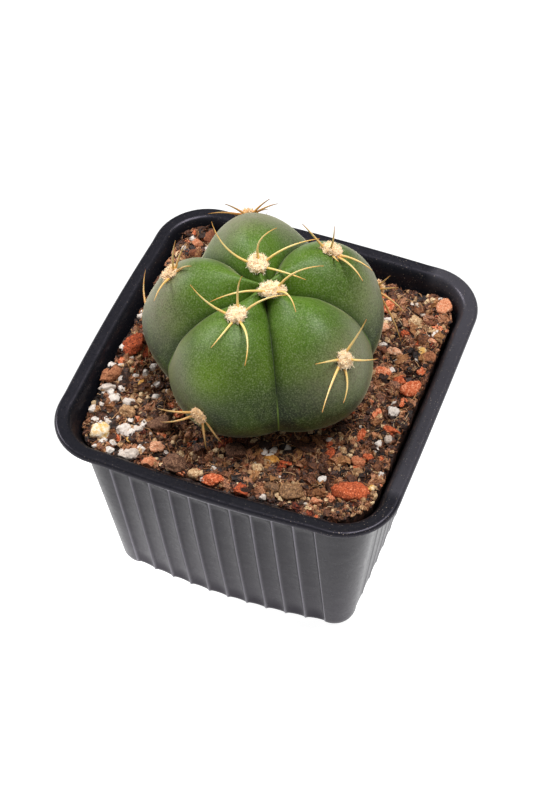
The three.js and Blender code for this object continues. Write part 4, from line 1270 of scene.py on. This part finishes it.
def make_soil(trees, paint):
    """The bed, which fills the pot, and the crumbs, grit and chips in its face."""
    face = soil_face(lambda x, y: 1)
    pale_face = soil_face(pale_share)
    finish_piece("soil_bed", grow(soil_block(), trees["ruffle"], paint["peat"], {
        "Roughness": 0.7, "Size": 1.3}), "soil", "soil")
    layers = {
        "peat_crumbs": (face, "peat", {
            "Density": 0.65, "Spacing": 0.8, "Smallest": 1.0, "Largest": 2.6, "Flatness": 0.7,
            "Rise": 0.15, "Unevenness": 0.45, "Detail": 2, "Seed": 1}),
        "peat_dust": (face, "peat", {
            "Density": 4.5, "Spacing": 0.42, "Smallest": 0.4, "Largest": 1.1, "Flatness": 0.8,
            "Rise": 0.9, "Unevenness": 0.35, "Detail": 1, "Seed": 6}),
        "tan_grit": (face, "grit", {
            "Density": 0.75, "Spacing": 0.5, "Smallest": 0.35, "Largest": 1.5, "Flatness": 0.8,
            "Rise": 1.1, "Unevenness": 0.3, "Detail": 1, "Seed": 2}),
        "bark_bits": (face, "bark", {
            "Density": 0.16, "Spacing": 1.1, "Smallest": 0.7, "Largest": 2.4, "Flatness": 0.55,
            "Stretch": 1.9, "Rise": 0.7, "Unevenness": 0.4, "Detail": 2, "Seed": 3}),
        "brick_chips": (face, "brick", {
            "Density": 0.09, "Spacing": 1.4, "Smallest": 0.5, "Largest": 1.9, "Flatness": 0.7,
            "Rise": 0.8, "Unevenness": 0.4, "Detail": 2, "Seed": 4}),
        "white_grit": (pale_face, "pumice", {
            "Density": 0.3, "Spacing": 0.8, "Smallest": 0.35, "Largest": 1.8, "Flatness": 0.8,
            "Rise": 1.0, "Unevenness": 0.25, "Detail": 2, "Seed": 5}),
    }
    for name, (ground, kind, sizes) in layers.items():
        finish_soil(name, grow(ground.copy(), trees["scatter"], paint[kind], sizes))


def soil_face(share):
    """The mix's open face as a fine grid, with the room for grains as a value on its points:
    none at the wall or under the plant, and the given share of it at a place."""
    count = int(SOIL_SIDE / FACE_STEP)
    points, room, index = [], [], {}
    for i in range(count + 1):
        for j in range(count + 1):
            x = (i / count - 0.5) * SOIL_SIDE
            y = (j / count - 0.5) * SOIL_SIDE
            if inside_mouth(x, y, FACE_CLEARANCE):
                index[i, j] = len(points)
                points.append((x, y, soil_height(x, y)))
                free = inside_mouth(x, y, GRAIN_CLEARANCE)
                free = free and math.hypot(x - AXIS_X, y - AXIS_Y) > PLANT_FOOT
                room.append(float(free) * share(x, y))
    faces = []
    for i in range(count):
        for j in range(count):
            corners = [(i, j), (i + 1, j), (i + 1, j + 1), (i, j + 1)]
            if all(c in index for c in corners):
                faces.append([index[c] for c in corners])
    return make_mesh("soil_face", points, faces, room=room)


def soil_block():
    """The mix's closed block: smooth sides within the walls' flutes, and a fine face."""
    clear = WALL + SOIL_CLEARANCE
    fluted = clear + FLUTE_DEPTH_FOOT * max(FLUTE_SHARES)
    # Each height with its inset; every second point of a wall's ring is enough for the block
    sides = [wall_ring(z, inset)[0][::2] for z, inset in [
        (clear, clear + BASE_ROUND), (FLUTE_FOOT, fluted), (FLUTE_TOP - BED_FLUTE_DROP, fluted),
        (FLUTE_TOP + FLUTE_STEP, clear + BED_BAND_INSET), (SOIL_TOP - BED_EDGE_DROP, clear)]]
    *rings, edge = sides
    for k in range(BED_RINGS):
        share = 1 - k / BED_RINGS
        rings.append([(x * share, y * share, soil_height(x * share, y * share))
                      for x, y, _ in edge])
    points, faces = loft(rings, (0, 0, clear), (0, 0, soil_height(0, 0)))
    return make_mesh("soil_bed", points, faces, tint=[BED_TINT] * len(points))


def broken_shape(ball_points, draw):
    """A ball's points pulled in to the flats of a broken stone, by a number of random cuts."""
    planes = []
    for _ in range(STONE_CUTS):
        way = Vector((draw.gauss(0, 1), draw.gauss(0, 1), draw.gauss(0, 1))).normalized()
        planes.append((way, draw.uniform(*CUT_DEPTH)))
    points = []
    for v in ball_points:
        own = Vector(v)
        reach = min(depth / max(own.dot(way), CUT_SLANT) for way, depth in planes)
        points.append(own * min(reach, CUT_LIMIT))
    return points


def make_stones(trees, paint):
    """The larger stones, each where it lies in the mix, as one piece for each kind."""
    draw = random.Random(STONE_SEED)
    balls = {True: ball_shape(4), False: ball_shape(3)}
    for kind in sorted({stone[-1] for stone in STONES}):
        points, faces, tints = [], [], []
        for x, y, breadth, narrow, heading, own_kind in STONES:
            if own_kind != kind:
                continue
            ball_points, ball_faces = balls[breadth > LARGE_STONE]
            sizes = (1, narrow, draw.uniform(*STONE_FLATNESS) * narrow)
            turn = Matrix.Rotation(math.radians(heading), 3, "Z")
            turn = turn @ Matrix.Rotation(draw.uniform(-STONE_TILT, STONE_TILT), 3, "X")
            rise = STONE_LIFT + breadth * draw.uniform(*STONE_RISE)
            centre = Vector((x, y, soil_height(x, y) + rise))
            start = len(points)
            for v in broken_shape(ball_points, draw):
                own = Vector(v[k] * sizes[k] * breadth / 2 for k in range(3))
                points.append(centre + turn @ own)
            faces += [[i + start for i in face] for face in ball_faces]
            tints += [draw.uniform(*STONE_TINT)] * len(ball_points)
        stones = make_mesh(kind + "_stones", points, faces, tint=tints)
        stones = grow(stones, trees["ruffle"], paint[kind], STONE_LUMPS)
        finish_soil(kind + "_stones", stones)


def make_rootlets(tree, material):
    """Fine roots and fibres that lie on the mix in loose curls."""
    draw = random.Random(ROOTLET_SEED)
    points, edges, thick, tint = [], [], [], []
    half = SOIL_SIDE / 2
    while len(points) < ROOTLETS * (ROOTLET_STEPS + 1):
        x, y = draw.uniform(-half, half), draw.uniform(-half, half)
        if math.hypot(x - AXIS_X, y - AXIS_Y) < PLANT_FOOT + 1:
            continue
        heading = draw.uniform(0, math.tau)
        curl = draw.uniform(-ROOTLET_CURL, ROOTLET_CURL)
        length = mix(*ROOTLET_LENGTHS, draw.random() ** 2)
        own_thick = draw.uniform(*ROOTLET_RADII)
        own_tint = draw.random()
        line = []
        for step in range(ROOTLET_STEPS + 1):
            wave = math.sin(step * ROOTLET_WAVE_TURN + own_tint * ROOTLET_WAVE_SHIFT)
            lift = ROOTLET_LIFT + ROOTLET_WAVE * wave
            line.append((x, y, soil_height(x, y) + lift))
            heading += curl + draw.uniform(-ROOTLET_STRAY, ROOTLET_STRAY)
            x += math.cos(heading) * length / ROOTLET_STEPS
            y += math.sin(heading) * length / ROOTLET_STEPS
        if all(inside_mouth(p[0], p[1], GRAIN_CLEARANCE) for p in line):
            start = len(points)
            points += line
            edges += [(start + i, start + i + 1) for i in range(ROOTLET_STEPS)]
            thick += [own_thick] * len(line)
            tint += [own_tint] * len(line)
    lines = make_mesh("rootlets", points, edges=edges, thick=thick, tint=tint)
    finish_soil("rootlets", grow(lines, tree, material, {"Sides": ROOTLET_SIDES}))


# Studio

def make_floor():
    """A pale floor, lit from below as on a light table, most round the pot's foot and at its two
    sides."""
    floor = bpy.data.objects.new("floor", make_mesh("floor", [
        (-FLOOR_REACH, -FLOOR_REACH, 0), (FLOOR_REACH, -FLOOR_REACH, 0),
        (FLOOR_REACH, FLOOR_REACH, 0), (-FLOOR_REACH, FLOOR_REACH, 0)], [(0, 1, 2, 3)]))
    bpy.context.collection.objects.link(floor)
    material, tree, shader, place = new_material("pale floor")
    reach = add(tree, "ShaderNodeVectorMath", {"operation": "LENGTH"}, {0: place})
    near = add(tree, "ShaderNodeMapRange", {"interpolation_type": "SMOOTHSTEP"}, {
        "Value": reach.outputs["Value"], "From Min": 32.0, "From Max": 68.0,
        "To Min": 1.0, "To Max": 0.0})
    parts = add(tree, "ShaderNodeSeparateXYZ", fill={0: place})
    off_middle = add(tree, "ShaderNodeMath", {"operation": "SUBTRACT"}, {
        0: parts.outputs["X"], 1: 15.0})
    aside = add(tree, "ShaderNodeMath", {"operation": "ABSOLUTE"}, {0: off_middle})
    sides = add(tree, "ShaderNodeMapRange", {"interpolation_type": "SMOOTHSTEP"}, {
        "Value": aside, "From Min": 5.0, "From Max": 70.0, "To Min": 0.4, "To Max": 1.5})
    glow = add(tree, "ShaderNodeMath", {"operation": "MULTIPLY"}, {0: near, 1: sides})
    light = add(tree, "ShaderNodeMath", {"operation": "ADD"}, {0: glow, 1: FLOOR_GLOW})
    fill_inputs(tree, shader, {
        "Base Color": tone("a8a8a8"), "Roughness": 0.9, "Emission Color": tone("ffffff"),
        "Emission Strength": light})
    floor.data.materials.append(material)


def make_lights():
    """White surroundings and two broad softboxes, one overhead and one from the left."""
    world = bpy.data.worlds.new("white studio")
    world.use_nodes = True
    sky = next(n for n in world.node_tree.nodes if n.type == "BACKGROUND")
    fill_inputs(world.node_tree, sky, {"Color": tone("ffffff"), "Strength": SKY_STRENGTH})
    bpy.context.scene.world = world
    for name, place, breadth, power in SOFTBOXES:
        lamp = bpy.data.lights.new(name, "AREA")
        lamp.size = breadth
        lamp.energy = power
        holder = bpy.data.objects.new(name, lamp)
        holder.location = place
        aim = LIGHTS_AIM - Vector(place)
        holder.rotation_euler = aim.to_track_quat("-Z", "Y").to_euler()
        bpy.context.collection.objects.link(holder)


def make_camera():
    """A camera that looks down on the plant from the front right."""
    back = Vector((math.sin(LOOK_AZIMUTH) * math.cos(LOOK_ELEVATION),
                   -math.cos(LOOK_AZIMUTH) * math.cos(LOOK_ELEVATION),
                   math.sin(LOOK_ELEVATION)))
    right = Vector((math.cos(LOOK_AZIMUTH), math.sin(LOOK_AZIMUTH), 0))
    up = back.cross(right)
    level = Matrix((right, up, back)).transposed() @ Matrix.Rotation(ROLL, 3, "Z")
    lens = bpy.data.cameras.new("camera")
    lens.sensor_fit = "VERTICAL"
    lens.sensor_height = SENSOR_HEIGHT
    lens.lens = FOCAL_LENGTH
    lens.clip_start = 0.01
    lens.clip_end = 20
    camera = bpy.data.objects.new("camera", lens)
    camera.matrix_world = Matrix.Translation(EYE * MM) @ level.to_4x4()
    bpy.context.collection.objects.link(camera)
    bpy.context.scene.camera = camera


def main():
    """Sets up the view and the studio, then makes every piece."""
    bpy.context.scene.view_settings.view_transform = "Standard"
    make_camera()
    make_floor()
    make_lights()
    trees = {"threads": tube_tree(), "ruffle": ruffle_tree(), "scatter": scatter_tree()}
    paint = soil_paints()
    make_pot(thermoformed_polystyrene())
    make_soil(trees, paint)
    make_stones(trees, paint)
    make_rootlets(trees["threads"], paint["fibre"])
    make_skin(waxy_skin())
    make_wool(trees["ruffle"], areole_felt(), hair_down())
    make_spines(spine_horn(), trees["threads"])


main()
